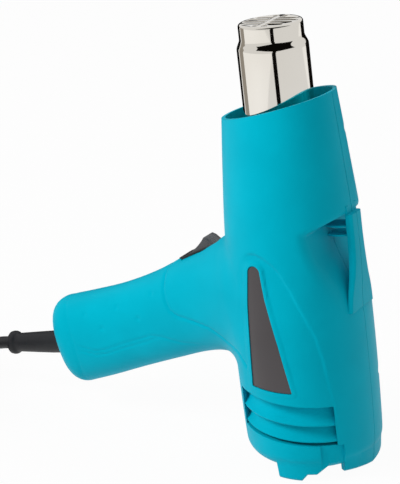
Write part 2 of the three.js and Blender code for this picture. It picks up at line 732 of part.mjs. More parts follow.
// Blow tube: drawn in one piece with its slotted front
function blowTube() {
  const { tip, wide, wall: skin, rim } = tube;
  const base = flangeHeight;
  const outerLine = [
    [tubeFlange.radius, base],
    [tubeFlange.radius, base + tubeFlange.thick],
    [wide, base + tubeFlange.thick],
    [wide, shoulderBottom],
    [(wide * 2 + tip) / 3, shoulderBottom + (shoulderTop - shoulderBottom) * 0.3],
    [(wide + tip * 2) / 3, shoulderBottom + (shoulderTop - shoulderBottom) * 0.7],
    [tip, shoulderTop],
    ...steps(0, Math.PI / 2, 2).map((a) =>
      [tip - rim * (1 - Math.cos(a)), nozzleTop - rim * (1 - Math.sin(a))]),
  ];
  const innerLine = [
    [0, nozzleTop],
    [0, nozzleTop - skin],
    [tip - rim, nozzleTop - skin],
    [tip - skin, nozzleTop - rim],
    [tip - skin, shoulderTop - skin * 0.3],
    [wide - skin, shoulderBottom - skin * 0.3],
    [wide - skin, base],
  ];
  const body = solid(turned([...outerLine, ...innerLine], 32));
  return body.subtract(joined(grilleSlots().map((geometry) => solid(geometry))));
}

function grilleSlots() {
  const slots = [];
  for (let row = 0; row < grille.rows; row++) {
    const y = (row - (grille.rows - 1) / 2) * grille.pitch;
    const half = grille.slot / 2;
    const end = Math.sqrt(grille.reach ** 2 - (Math.abs(y) + half) ** 2);
    for (const [from, to] of [[-end, -grille.web / 2], [grille.web / 2, end]]) {
      slots.push(box(from, to, y - half, y + half, nozzleTop - 4, nozzleTop + 2));
    }
  }
  return slots;
}
place('nozzle_tube', blowTube(), chromed);

// Heater
place('mica_sleeve', ring(sleeveInner, sleeveOuter, duct.neckTo + seat, sleeveTo, 24), mica);

function heaterCore() {
  const shape = new THREE.Shape();
  const sides = core.lobes * 6;
  for (let i = 0; i < sides; i++) {
    const turn = (2 * Math.PI * i) / sides;
    const radius = core.radius - core.groove * (i % 6 === 3 ? 1 : i % 6 === 2 || i % 6 === 4 ? 0.7 : 0);
    shape[i ? 'lineTo' : 'moveTo'](radius * Math.cos(turn), radius * Math.sin(turn));
  }
  shape.closePath();
  const bore = new THREE.Path();
  bore.absarc(0, 0, core.bore, 0, 2 * Math.PI, true);
  shape.holes.push(bore);
  return new THREE.ExtrudeGeometry(shape, { depth: coreTo - coreFrom, bevelEnabled: false, curveSegments: 6 })
    .translate(0, 0, coreFrom);
}
place('heater_core', heaterCore(), ceramic);

// A tube through points, with a section of few sides and flat ends
function tubeThrough(points, radius, sides) {
  const rings = points.map((point, i) => {
    const before = points[Math.max(i - 1, 0)];
    const after = points[Math.min(i + 1, points.length - 1)];
    const along = after.clone().sub(before).normalize();
    const side = new THREE.Vector3(0, 0, 1).cross(along).normalize();
    const lift = along.clone().cross(side).normalize();
    return around(sides).map((corner) => {
      const turn = corner + Math.PI / sides;
      const [across, up] = [radius * Math.cos(turn), radius * Math.sin(turn)];
      return point.clone().addScaledVector(side, across).addScaledVector(lift, up);
    });
  });
  return loft(rings);
}

function heaterWinding() {
  const radius = core.radius + winding.wire + seat;
  const perTurn = 12;
  const [from, to] = [coreFrom + winding.inFromEnds, coreTo - winding.inFromEnds];
  const points = steps(0, winding.turns, winding.turns * perTurn).map((turn) => new THREE.Vector3(
    radius * Math.cos(2 * Math.PI * turn),
    radius * Math.sin(2 * Math.PI * turn),
    from + ((to - from) * turn) / winding.turns,
  ));
  return tubeThrough(points, winding.wire, 4);
}
place('heater_winding', heaterWinding(), steel);

// Spoked mica disc under the core, seated on the neck of the air duct
function heaterFoot() {
  const { thick, spoke, rim } = heaterBase;
  const radius = sleeveInner - seat;
  const low = heaterFootTop - thick;
  const rimBody = solid(ring(radius - rim, radius, low, heaterFootTop, 14));
  const hub = solid(disc(core.radius - 3, low, heaterFootTop, 12));
  const spokes = steps(0, 2, 2).map((i) => {
    const bar = box(-radius + rim / 2, radius - rim / 2, -spoke / 2, spoke / 2, low, heaterFootTop);
    return solid(bar.rotateZ((i * Math.PI) / 3));
  });
  return joined([rimBody, hub, ...spokes]).subtract(solid(disc(core.bore, low - 1, heaterFootTop + 1, 8)));
}
place('heater_base', heaterFoot(), mica);
const cutoffTop = heaterFootTop - heaterBase.thick - seat;
const cutoffHalf = cutoff.wide / 2;
place('thermal_cutoff',
  box(cutoff.from, cutoff.to, -cutoffHalf, cutoffHalf, cutoffTop - cutoff.high, cutoffTop), ceramic);

// Air duct with its bell mouth, stator vanes and motor ring
function airDuct() {
  const { inlet, inner, wall: skin, flange, coneFrom, neckTo } = duct;
  const neckFrom = neckTo - duct.neckLong;
  const skinBody = solid(turned([
    [inner, inlet + 2],
    [inner + 1, inlet],
    [flange, inlet],
    [flange, inlet + skin],
    [inner + skin, inlet + skin],
    [inner + skin, coneFrom],
    [neckInner + skin, neckFrom],
    [neckInner + skin, neckTo],
    [neckInner, neckTo],
    [neckInner, neckFrom],
    [inner, coneFrom],
  ], 20));
  const { from, to, hubWall, vaneThick } = stator;
  const hub = solid(ring(statorHub, statorHub + hubWall, from, to, 14));
  const half = vaneThick / 2;
  const vanes = around(stator.vanes).map((turn) =>
    solid(box(statorHub + hubWall / 2, inner + skin / 2, -half, half, from, to).rotateZ(turn)));
  return joined([skinBody, hub, ...vanes]);
}
place('air_duct', airDuct(), greyPlastic);

// Motor
function motorCan() {
  const { radius, wall: skin, from, to } = motor;
  const boss = bearing.radius + skin;
  const [bossFrom, bossTo] = [bearingFrom.rear + 0.1, bearingFrom.rear + bearing.length + 0.3];
  return turned([
    [bearing.radius, bossFrom],
    [boss, bossFrom],
    [boss, from],
    [radius - 1.5, from],
    [radius, from + 1.5],
    [radius, to],
    [radius - skin, to],
    [radius - skin, from + 2],
    [radius - skin - 1.2, from + skin],
    [boss, from + skin],
    [boss, bossTo],
    [bearing.radius, bossTo],
  ], 18);
}
place('motor_can', motorCan(), steel);

const shaftBore = (shaft.radius + running) / Math.cos(Math.PI / shaftSides);
const sleeveBearing = (from) =>
  ring(shaftBore, bearing.radius - seat / 2, from, from + bearing.length, shaftSides);
place('rear_bearing', sleeveBearing(bearingFrom.rear), brass);
place('front_bearing', sleeveBearing(bearingFrom.front), brass);

function endBell() {
  const { radius, to } = motor;
  const skirtOuter = magnetOuter;
  const skirtFrom = magnet.to + seat;
  const webLow = bellTop - 2.4;
  const stop = bearingFrom.front - 0.1;
  const bossOuter = bearing.radius + 1.8;
  const shape = solid(turned([
    [bearing.radius, bellTop],
    [radius - 1, bellTop],
    [radius, bellTop - 1],
    [radius, to + seat],
    [skirtOuter, to + seat],
    [skirtOuter, skirtFrom],
    [skirtOuter - bellWall, skirtFrom],
    [skirtOuter - bellWall, webLow],
    [bossOuter, webLow],
    [bossOuter, stop - 0.8],
    [shaft.radius + 1, stop - 0.8],
    [shaft.radius + 1, stop],
    [bearing.radius, stop],
  ], 18));
  return shape.subtract(brushBox(seat, bellWall));
}

// The two brushes, or their pockets when made larger all round and longer outwards
const brushMiddle = (commutator.from + commutator.to) / 2;
function brushBox(grow, longer, sides = [-1, 1]) {
  const [wide, high] = [brush.wide / 2 + grow, brush.high / 2 + grow];
  const from = commutator.radius + brush.gap;
  const to = magnetOuter - seat + longer;
  return joined(sides.map((side) => solid(
    box(Math.min(side * from, side * to), Math.max(side * from, side * to),
      -wide, wide, brushMiddle - high, brushMiddle + high))));
}
place('motor_end_bell', endBell(), blackPlastic);
place('carbon_brush_1', brushBox(0, 0, [-1]), carbon);
place('carbon_brush_2', brushBox(0, 0, [1]), carbon);

function magnetShell(turn) {
  const inner = magnetOuter - magnet.thick;
  const shape = new THREE.Shape();
  shape.absarc(0, 0, magnetOuter, -magnet.arc / 2, magnet.arc / 2, false);
  shape.absarc(0, 0, inner, magnet.arc / 2, -magnet.arc / 2, true);
  shape.closePath();
  const depth = magnet.to - magnet.from;
  return new THREE.ExtrudeGeometry(shape, { depth, bevelEnabled: false, curveSegments: 10 })
    .translate(0, 0, magnet.from)
    .rotateZ(turn);
}
place('magnet_1', magnetShell(Math.PI / 2), carbon);
place('magnet_2', magnetShell(-Math.PI / 2), carbon);

// Rotor: shaft, laminated armature, commutator and fan
place('motor_shaft', disc(shaft.radius, shaft.from, bellTop + shaft.pastBell, shaftSides), steel);

function armatureStack() {
  const { airGap, from, to, poles, slot } = armature;
  const outer = magnetOuter - magnet.thick - airGap;
  const hub = outer * 0.4;
  const slots = around(poles).map((turn) =>
    solid(box(hub, outer + 1, -slot / 2, slot / 2, from - 1, to + 1).rotateZ(turn)));
  return solid(ring(shaftBore, outer, from, to, 18)).subtract(joined(slots));
}
place('armature', armatureStack(), steel);

function commutatorDrum() {
  const { radius, from, to, gap } = commutator;
  const cuts = around(armature.poles).map((turn) =>
    solid(box(radius - gap, radius + gap, -gap / 2, gap / 2, from + 1, to + 1).rotateZ(turn)));
  return solid(ring(shaftBore, radius, from, to, 12)).subtract(joined(cuts));
}
place('commutator', commutatorDrum(), copper);

// Mixed-flow fan: a domed hub with twisted blades
function fanWheel() {
  const { from, to, hub, blades, gap, bladeThick, twist } = fan;
  const tipRadius = duct.inner - gap;
  const hubBody = solid(turned([
    [shaftBore, from - 1.5],
    [4, from - 1.5],
    [hub * 0.8, from + 1.5],
    [hub, from + 4],
    [hub, to],
    [hub - 1.6, to],
    [hub - 1.6, from + 5],
    [4, from + 3],
    [4, to],
    [shaftBore, to],
  ], 14));
  const bladeBodies = around(blades).map((turn) => {
    const rings = steps(hub - 1, tipRadius, 2).map((radius) => {
      const pitch = twist + 0.5 * (1 - radius / tipRadius);
      const half = (to - from - 1) / 2 / Math.sin(pitch);
      const middle = (from + to) / 2;
      const [c, s] = [Math.cos(pitch), Math.sin(pitch)];
      const corner = (along, out) => {
        const y = along * c - out * s;
        const z = middle + along * s + out * c;
        return new THREE.Vector3(Math.sqrt(Math.max(radius ** 2 - y ** 2, 1)), y, z);
      };
      const t = bladeThick / 2;
      return [corner(-half, -t), corner(half, -t), corner(half, t), corner(-half, t)];
    });
    return solid(loft(rings).rotateZ(turn));
  });
  return joined([hubBody, ...bladeBodies]);
}
place('fan_wheel', fanWheel(), blackPlastic);

// Rectifier board on the front of the motor, with its four diodes and standoff
function rectifierBoard() {
  const { thick, radius, standoff, bore, leg, legAt } = board;
  const height = bellTop + standoff;
  const diodeFrom = height + thick - 0.2;
  const body = solid(ring(bore, radius, height, height + thick, 16));
  const legs = around(3).map((turn) =>
    solid(disc(leg, bellTop + seat, height + thick / 2, 6).translate(legAt, 0, 0).rotateZ(turn)));
  const { x, y, long, wide, high } = diode;
  const diodes = [[-x, -y], [-x, y], [x, -y], [x, y]].map(([middleX, middleY]) =>
    solid(box(-long / 2, long / 2, -wide / 2, wide / 2, diodeFrom, diodeFrom + high)
      .translate(middleX, middleY, 0)));
  return joined([body, ...legs, ...diodes]);
}
place('rectifier_board', rectifierBoard(), { color: 0x2f6b45, roughness: 0.5, metalness: 0 });

// Rocker switch: body with its bezel, and the rocker on its pin
const pivotRod = (radius, half) => rod(
  radius,
  new THREE.Vector3(0, -half, -rocker.pivotDrop),
  new THREE.Vector3(0, half, -rocker.pivotDrop),
  12,
);

function switchCase() {
  const { depth, floor, wall: side, width } = switchBody;
  const rim = solid(switchBlock(bezel.rim, 0, bezel.lip));
  const tub = solid(switchBlock(0, -depth, bezel.lip / 2));
  const well = solid(switchBlock(-side, floor - depth, bezel.lip + 1));
  const { pitch, wide, thick, long } = switchTab;
  const tabs = [-pitch, 0, pitch].map((x) =>
    solid(box(x - wide / 2, x + wide / 2, -thick / 2, thick / 2, -depth - long, 1 - depth)));
  const pin = solid(pivotRod(rocker.pin, width / 2 - side / 2));
  return geometryOf(joined([rim, tub, ...tabs]).subtract(well).add(pin)).applyMatrix4(switchFrame);
}
place('switch_body', switchCase(), blackPlastic);

// The rocker's lower ends follow an arc about its pin, so they clear the well as it tips
function rockerKey() {
  const { pivotDrop, skirt, neck } = rocker;
  const { peak, peakAt, middle, low, high } = rockerTop;
  const endRadius = switchBody.length / 2 - switchBody.wall - seat;
  const onArc = (z) => Math.sqrt(endRadius ** 2 - (z + pivotDrop) ** 2);
  const outline = [
    [1 - endRadius, -pivotDrop - skirt],
    [endRadius - 1, -pivotDrop - skirt],
    [onArc(-neck), -neck],
    [onArc(high), high],
    [peakAt, peak],
    [0, middle],
    [-onArc(low), low],
    [-onArc(-neck), -neck],
  ];
  const half = switchBody.width / 2 - switchBody.wall - seat;
  const body = solid(plate(outline, -half, half));
  const { bottom, top, drop } = rockerHub;
  const hubOutline = [
    [-bottom, -pivotDrop - drop],
    [bottom, -pivotDrop - drop],
    [top, -pivotDrop + rocker.pin],
    [-top, -pivotDrop + rocker.pin],
  ];
  const hub = solid(plate(hubOutline, -half + 1, half - 1));
  const bore = solid(pivotRod((rocker.pin + rocker.pinClearance) / Math.cos(Math.PI / 12), reach));
  return geometryOf(body.add(hub).subtract(bore)).applyMatrix4(switchFrame);
}
place('rocker', rockerKey(), greyPlastic);

// Terminal block, the cord inside the handle and its clamp
function terminalBlock() {
  const { from, to, high, wide, z } = block;
  const body = solid(box(from, to, -wide / 2, wide / 2, z - high / 2, z + high / 2));
  const { radius, deep, pitch, fromEnd } = blockWell;
  const top = z + high / 2;
  const wells = [-pitch, 0, pitch].flatMap((y) => [from + fromEnd, to - fromEnd].map((x) =>
    solid(disc(radius, top - deep, top + 1, 6).translate(x, y, 0))));
  return body.subtract(joined(wells));
}
place('terminal_block', terminalBlock(), ceramic, handle);

// Relief: a sleeve that tapers to a collar, with a flange behind the butt wall
function cordRelief() {
  const { outside, inside } = relief;
  const { root, end, collar } = reliefSleeve;
  const bore = cordRadius + seat;
  return turned([
    [bore, -inside],
    [reliefFlange.radius, -inside],
    [reliefFlange.radius, -inside + reliefFlange.thick],
    [root, -inside + reliefFlange.thick],
    [root, 2],
    [end, outside - 5.4],
    [collar - 0.6, outside - 4.6],
    [collar, outside - 2.8],
    [collar - 0.8, outside - 1],
    [collar - 2.2, outside],
    [cordRadius + 0.6, outside],
    [cordRadius + 0.6, outside - 1.2],
    [bore, outside - 1.2],
  ], 14).rotateY(Math.PI / 2).applyMatrix4(reliefFrame);
}
place('cord_relief', cordRelief(), rubber);

// The sheathed cord through the relief to the terminal block
const reliefToHandle = new THREE.Matrix4().copy(handleFrame).invert().multiply(reliefFrame);
const reliefPoint = (along) => new THREE.Vector3(along, 0, 0).applyMatrix4(reliefToHandle);

function innerCord() {
  const curve = new THREE.CatmullRomCurve3([
    reliefPoint(relief.outside),
    reliefPoint(relief.outside / 2),
    reliefPoint(0),
    reliefPoint(-relief.inside),
    new THREE.Vector3(clampBar.x, 0, cordDrop),
    new THREE.Vector3(block.from - seat, 0, block.z),
  ], false, 'centripetal');
  const radius = cordRadius - 0.1;
  const section = new THREE.Shape(around(10).map((turn) =>
    new THREE.Vector2(radius * Math.cos(turn), radius * Math.sin(turn))));
  return new THREE.ExtrudeGeometry(section, { steps: 8, extrudePath: curve, bevelEnabled: false });
}
place('inner_cord', innerCord(), rubber, handle);

// Clamp bar: a saddle across the cord, screwed down on two posts of the left half
function clampSaddle() {
  const { x, wide, long, high } = clampBar;
  const bar = inHandle(box(x - wide / 2, x + wide / 2, 0, high, cordDrop - long / 2, cordDrop + long / 2));
  const start = new THREE.Vector3(x - wide, 0, cordDrop).applyMatrix4(handleFrame);
  const end = new THREE.Vector3(x + wide, 0, cordDrop).applyMatrix4(handleFrame);
  const channel = solid(rod(cordRadius + seat, start, end, 16));
  const bores = clampSpots.map((spot) =>
    solid(across(spot, clampScrew.shank + screwWell.hole, -1, high + 1, 6)));
  return solid(bar).subtract(joined([channel, ...bores]));
}
place('clamp_bar', clampSaddle(), blackPlastic);

// A pan-head screw driven along -Y, with the underside of its head at seatY
function screwBody(spot, { shank, head, headHigh }, tipY, seatY, sides) {
  const under = seatY + seat;
  const driveDepth = headHigh * 0.6;
  const profile = [
    [0, tipY],
    [shank * 0.5, tipY],
    [shank, tipY + 2],
    [shank, under],
    [head, under],
    [head, under + headHigh * 0.7],
    [head * 0.7, under + headHigh],
    [head * 0.4, under + headHigh],
    [head * 0.4, under + headHigh - driveDepth],
    [0, under + headHigh - driveDepth],
  ];
  return turned(profile, sides).rotateX(-Math.PI / 2).translate(spot.x, 0, spot.z);
}
clampSpots.forEach((spot, i) =>
  place(`clamp_screw_${i + 1}`, screwBody(spot, clampScrew, -clampScrew.depth, clampBar.high, 6), steel));
screwSpots.forEach((spot, i) =>
  place(`housing_screw_${i + 1}`, screwBody(spot, screw, screw.tipY, screw.seatY, 6), steel));

// Cord: free stretches with points chosen by hand, in world millimetres
const coilLift = tie.thick + seat + cordRadius;
const turnsPerLayer = coil.turns / coil.layers;
const coilOuter = coil.middle + (coil.pitch * turnsPerLayer) / 2;
const coilTop = coilLift + (coil.layers - 1) * coil.rise;
const cordRoute = [
  [-193.7, 0, 27.8],
  [-198.6, 0, 26.8],
  [-205.4, 0.4, 24.7],
  [-212.6, 1.6, 21.2],
  [-219.4, 3.4, 16.4],
  [-226.3, 5.4, 11.7],
  [-233.8, 7.4, 8.1],
  [-242, 9.1, 5.7],
  [-250, 9.8, 4.7],
  [-254.7, 9.8, 4.6],
];
const tailRoute = [
  [-309.8, -45.3, 27.4],
  [-309.6, -49.5, 27.7],
  [-307.2, -60, 30.8],
  [-300.6, -69.6, 35.6],
  [-291.2, -76.2, 40.4],
  [-282, -78.9, 43.4],
  [-276, -79.3, 44.2],
  [-272, -79.3, 44.3],
];

function freeCord(route, stepCount) {
  const section = new THREE.Shape(around(10).map((turn) =>
    new THREE.Vector2(cordRadius * Math.cos(turn), cordRadius * Math.sin(turn))));
  const points = route.map((point) => new THREE.Vector3(...point));
  const curve = new THREE.CatmullRomCurve3(points, false, 'centripetal');
  console.log('free cord length, mm:', curve.getLength().toFixed(1));
  return new THREE.ExtrudeGeometry(section, { steps: stepCount, extrudePath: curve, bevelEnabled: false });
}
place('power_cord', freeCord(cordRoute, 7), rubber, hotAirTool);
place('cord_tail', freeCord(tailRoute, 6), rubber, hotAirTool);

// Coil: one unbroken run that spirals in and out again in four layers. It climbs a layer in each
// half turn where the spiral reverses, and runs straight for one diameter at each end.
function coilPoints() {
  const { x, y, pitch, rise, turns, layers } = coil;
  const straight = 2 * cordRadius;
  const points = [new THREE.Vector3(x + straight, y + coilOuter, coilLift)];
  for (const turn of steps(0, turns, Math.round(turns * coilMesh.steps))) {
    const swing = (turn / turnsPerLayer) % 2;
    const inward = (swing < 1 ? swing : 2 - swing) * turnsPerLayer;
    let z = coilLift;
    for (let layer = 1; layer < layers; layer++) {
      const reversal = layer * turnsPerLayer;
      z += rise * THREE.MathUtils.smoothstep(turn, reversal - 0.25, reversal + 0.25);
    }
    const angle = Math.PI / 2 + 2 * Math.PI * turn;
    const radius = coilOuter - pitch * inward;
    points.push(new THREE.Vector3(x + radius * Math.cos(angle), y + radius * Math.sin(angle), z));
  }
  const end = points.at(-1);
  points.push(new THREE.Vector3(end.x, end.y - straight, end.z));
  return points;
}

function leastGap(points, diameter) {
  let least = Infinity;
  for (let i = 0; i < points.length; i++) {
    let run = 0;
    for (let j = i + 1; j < points.length; j++) {
      run += points[j].distanceTo(points[j - 1]);
      const gap = points[i].distanceTo(points[j]) - diameter;
      if (run > 3 * diameter) least = Math.min(least, gap);
    }
  }
  return least;
}

const coilRun = coilPoints();
const coilLength = coilRun.slice(1).reduce((sum, point, i) => sum + point.distanceTo(coilRun[i]), 0);
console.log('coil length, mm:', coilLength.toFixed(1));
console.log('coil least gap, mm:', leastGap(coilRun, 2 * cordRadius).toFixed(2));
place('cord_coil', tubeThrough(coilRun, cordRadius, coilMesh.sides), rubber, hotAirTool);

// Hook-and-loop tie round the bundle of turns
function cordTie() {
  const inner = coilOuter - coil.pitch * turnsPerLayer - cordRadius - tie.slack;
  const outer = coilOuter + cordRadius + tie.slack;
  const top = coilTop + cordRadius + seat;
  const outline = (grow) => [
    [inner - grow, tie.thick - grow],
    [outer + grow, tie.thick - grow],
    [outer + grow, top + grow],
    [inner - grow, top + grow],
  ];
  const band = solid(plate(outline(tie.thick), -tie.wide / 2, tie.wide / 2))
    .subtract(solid(plate(outline(0), -tie.wide, tie.wide)));
  return geometryOf(band).rotateZ(tie.angle).translate(coil.x, coil.y, 0);
}
place('cord_tie', cordTie(), blackPlastic, hotAirTool);

// Plug: a moulded two-pin contour plug, its pins side by side
const [tailX, tailY, tailZ] = tailRoute.at(-1);
const plugFrame = new THREE.Matrix4().setPosition(tailX + seat, tailY, tailZ);

function plugBody() {
  const sides = 16;
  const rings = plugStations.map(([x, wide, high]) => Array.from({ length: sides }, (_, i) => {
    const turn = (2 * Math.PI * i) / sides;
    return new THREE.Vector3(x, wide * Math.cos(turn), high * Math.sin(turn));
  }));
  const face = plugStations.at(-1)[0];
  const sockets = [-1, 1].map((side) => solid(rod(plug.pin + seat,
    new THREE.Vector3(face - plug.pinDepth - seat, side * plug.pinSpread, 0),
    new THREE.Vector3(face + 2, side * plug.pinSpread, 0), 10)));
  return geometryOf(solid(loft(rings)).subtract(joined(sockets))).applyMatrix4(plugFrame);
}
place('plug', plugBody(), rubber, hotAirTool);
[-1, 1].forEach((side, i) => {
  const face = plugStations.at(-1)[0];
  const start = new THREE.Vector3(face - plug.pinDepth, side * plug.pinSpread, 0);
  const end = new THREE.Vector3(face + plug.pinLong, side * plug.pinSpread, 0);
  place(`plug_pin_${i + 1}`, rod(plug.pin, start, end, 10).applyMatrix4(plugFrame), brass, hotAirTool);
});

// Origin: midway between the ends of the tool itself, on the floor
const extent = new THREE.Box3().setFromObject(tool, true);
hotAirTool.position.x = -(extent.min.x + extent.max.x) / 2;

export default hotAirTool;
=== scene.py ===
# %% [markdown]
# # A hot air tool, dressed in Blender
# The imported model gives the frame: every solid of the tool in metres, with its moving parts.
# This lesson keeps that frame as it is and builds what the eye sees around it. The inner
# parts keep their solids and get a finish. The outer ones get a fuller piece that stands for
# the solid: smoother, with the small relief lines and rounded edges of a moulded housing.
# Most numbers in the lists are those of the part's own source. The butt, the mouth, the feet
# and the rocker follow the photograph a little more closely here.

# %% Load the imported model
import math
import bmesh
import bpy
import numpy as np
from mathutils import Matrix, Vector


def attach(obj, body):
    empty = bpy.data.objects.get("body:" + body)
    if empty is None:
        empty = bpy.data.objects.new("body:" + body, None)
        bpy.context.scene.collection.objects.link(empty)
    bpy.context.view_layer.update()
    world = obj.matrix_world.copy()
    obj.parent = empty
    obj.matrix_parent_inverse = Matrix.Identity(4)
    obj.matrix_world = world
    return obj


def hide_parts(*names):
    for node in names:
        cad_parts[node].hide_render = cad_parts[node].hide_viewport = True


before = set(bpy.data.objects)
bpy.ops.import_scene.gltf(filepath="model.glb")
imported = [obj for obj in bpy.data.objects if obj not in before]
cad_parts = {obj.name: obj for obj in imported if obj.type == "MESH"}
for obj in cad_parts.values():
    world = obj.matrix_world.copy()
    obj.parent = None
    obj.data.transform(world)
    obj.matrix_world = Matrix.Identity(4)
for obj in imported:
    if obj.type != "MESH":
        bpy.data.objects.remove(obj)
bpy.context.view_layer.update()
scene = bpy.context.scene
scene.view_settings.view_transform = "Standard"

# %% [markdown]
# ## The camera
# A product picture is taken from far off with a long lens, so that the upright lines stay
# nearly parallel. Here the lens stands 1.3 m away, 28 degrees round towards the side of the
# tool that the cord does not leave, and 19 degrees up.

# %% Camera
MM = 0.001
AZIMUTH, ELEVATION = math.radians(28), math.radians(19.24)
AIM, DISTANCE = Vector((8.78, 0, 108.7)) * MM, 1300 * MM
outward = Vector((math.sin(AZIMUTH) * math.cos(ELEVATION),
                  -math.cos(AZIMUTH) * math.cos(ELEVATION), math.sin(ELEVATION)))
camera = bpy.data.objects.new("camera", bpy.data.cameras.new("camera"))
camera.data.lens = 179.3
camera.location = AIM + outward * DISTANCE
camera.rotation_euler = (-outward).to_track_quat("-Z", "Y").to_euler()
scene.collection.objects.link(camera)
scene.camera = camera
print(f"camera: {DISTANCE:.1f} m away, with a lens of {camera.data.lens} mm")

# %% [markdown]
# ## Where the tool stands
# The barrel leans back by 7.3 degrees, and the handle is set into it at an angle. Each piece
# is modelled upright in its own easy frame, and one matrix then puts its mesh in place.

# %% Frames
LEAN = math.radians(7.32)
tool_frame = Matrix.Translation((79.88 * MM, 0, 0)) @ Matrix.Rotation(-LEAN, 4, "Y")
handle_in_tool = Matrix.Translation((-148.6 * MM, 0, 59.4 * MM)) @ Matrix.Rotation(
    -math.radians(12.68), 4, "Y")
handle_frame = tool_frame @ handle_in_tool
switch_frame = handle_frame @ Matrix.Translation((104.3 * MM, 0, 32.1 * MM)) @ Matrix.Rotation(
    -math.radians(7.7), 4, "Y")
relief_frame = handle_frame @ Matrix.Translation((-9.6 * MM, 0, -2.9 * MM)) @ Matrix.Rotation(
    math.pi + math.radians(8.6), 4, "Y")
cord_frame = Matrix.Translation((79.88 * MM, 0, 0))


def alone(piece):
    """Select this piece and nothing else, since an operator acts on all that is selected."""
    bpy.ops.object.select_all(action="DESELECT")
    piece.select_set(True)
    bpy.context.view_layer.objects.active = piece
    return piece


def settle(piece, where=None):
    """Put a piece in place and write its place into its mesh."""
    alone(piece)
    if where is not None:
        piece.matrix_world = where
    bpy.ops.object.transform_apply(location=True, rotation=True, scale=True)
    return piece


print("the barrel leans by", round(math.degrees(LEAN), 2), "degrees")

# %% [markdown]
# ## The cord's line
# The mains lead is 2.2 m long and 7 mm thick. It leaves the relief behind the handle, sinks to
# the floor under its own weight, and the rest is wound into a round coil of four layers, just
# outside the picture, with the plug resting on it. A curve object with a round bevel is the
# natural way: its line is the cord's own centre line, so its length can be measured.

# %% Cord line
CORD_RADIUS = 3.5
CORD_ROUTE = [(-193.7, 0, 27.8), (-198.6, 0, 26.8), (-205.4, .4, 24.7), (-212.6, 1.6, 21.2),
              (-219.4, 3.4, 16.4), (-226.3, 5.4, 11.7), (-233.8, 7.4, 8.1), (-242, 9.1, 5.7),
              (-250, 9.8, 4.7), (-254.7, 9.8, 4.6)]
TAIL_ROUTE = [(-309.8, -45.3, 27.4), (-309.6, -49.5, 27.7), (-307.2, -60, 30.8),
              (-300.6, -69.6, 35.6), (-291.2, -76.2, 40.4), (-282, -78.9, 43.4),
              (-276, -79.3, 44.2), (-272, -79.3, 44.3)]
COIL = {"x": -262, "y": -38, "outer": 47.8375, "pitch": 7.6, "rise": 7.6, "turns": 8.25,
        "layers": 4, "lift": 4.6, "straight": 7}


def through(points, per_span=8):
    """Points on a smooth curve through the given ones, with spans weighed by their length."""
    p = [Vector(q) for q in points]
    p = [2 * p[0] - p[1]] + p + [2 * p[-1] - p[-2]]
    line = []
    for a, b, c, d in zip(p, p[1:], p[2:], p[3:]):
        s, t, u = ((b - a).length ** .5, (c - b).length ** .5, (d - c).length ** .5)
        m1 = (c - b) + t * ((b - a) / s - (c - a) / (s + t))
        m2 = (c - b) + t * ((d - c) / u - (d - b) / (t + u))
        for k in range(per_span):
            f = k / per_span
            line.append((2 * f**3 - 3 * f**2 + 1) * b + (f**3 - 2 * f**2 + f) * m1
                        + (3 * f**2 - 2 * f**3) * c + (f**3 - f**2) * m2)
    return line + [p[-2]]


# %% Coil


def coil_line(per_turn=48):
    """Four layers that spiral in and out again, climbing a layer where the spiral reverses."""
    c = COIL
    per_layer = c["turns"] / c["layers"]
    line = [Vector((c["x"] + c["straight"], c["y"] + c["outer"], c["lift"]))]
    count = round(c["turns"] * per_turn)
    for i in range(count + 1):
        turn = c["turns"] * i / count
        swing = (turn / per_layer) % 2
        radius = c["outer"] - c["pitch"] * per_layer * (swing if swing < 1 else 2 - swing)
        z = c["lift"]
        for layer in range(1, c["layers"]):
            f = min(max((turn - layer * per_layer + .25) / .5, 0), 1)
            z += c["rise"] * f * f * (3 - 2 * f)
        angle = math.pi / 2 + 2 * math.pi * turn
        line.append(Vector((c["x"] + radius * math.cos(angle), c["y"] + radius * math.sin(angle), z)))
    line.append(line[-1] - Vector((0, c["straight"], 0)))
    return line


# %% Lead with a round bevel


def lead_along(name, points, radius, resolution=4):
    """A curve with a round bevel of a radius in mm, along points in metres."""
    curve = bpy.data.curves.new(name, "CURVE")
    curve.dimensions, curve.use_fill_caps = "3D", True
    curve.bevel_depth, curve.bevel_resolution = radius * MM, resolution
    line = curve.splines.new("POLY")
    line.points.add(len(points) - 1)
    for spot, point in zip(line.points, points):
        spot.co = (*point, 1)
    piece = bpy.data.objects.new(name, curve)
    scene.collection.objects.link(piece)
    return piece


cord_points = [cord_frame @ (p * MM) for p in through(CORD_ROUTE) + coil_line() + through(TAIL_ROUTE)]
cord = lead_along("power_cord_lead", cord_points, CORD_RADIUS, 5)

# %% [markdown]
# ## Making solids
# Most pieces of this tool are skins over rings, turned profiles, or plates with an outline. All
# of them start from a primitive circle and use the operators that a hand would use. The first
# helper extrudes a ring and lays it on its place. The others follow where they are needed.

# %% Skins over rings


def skin_through(name, rings):
    """Extrude one disc from ring to ring, and lay each new ring on its place."""
    bpy.ops.object.select_all(action="DESELECT")
    bpy.ops.mesh.primitive_circle_add(vertices=len(rings[0]), fill_type="NGON")
    piece = bpy.context.object
    piece.name = name
    bpy.ops.object.mode_set(mode="EDIT")
    body = bmesh.from_edit_mesh(piece.data)
    place = body.verts.layers.int.new("place")
    for number, corner in enumerate(body.verts):
        corner[place] = number
        corner.co = rings[0][number]
    for ring in rings[1:]:
        bpy.ops.mesh.extrude_region_move()
        body = bmesh.from_edit_mesh(piece.data)
        place = body.verts.layers.int["place"]
        for corner in body.verts:
            if corner.select:
                corner.co = ring[corner[place]]
    bpy.ops.mesh.select_all(action="SELECT")
    bpy.ops.mesh.normals_make_consistent(inside=False)
    bpy.ops.object.mode_set(mode="OBJECT")
    return piece


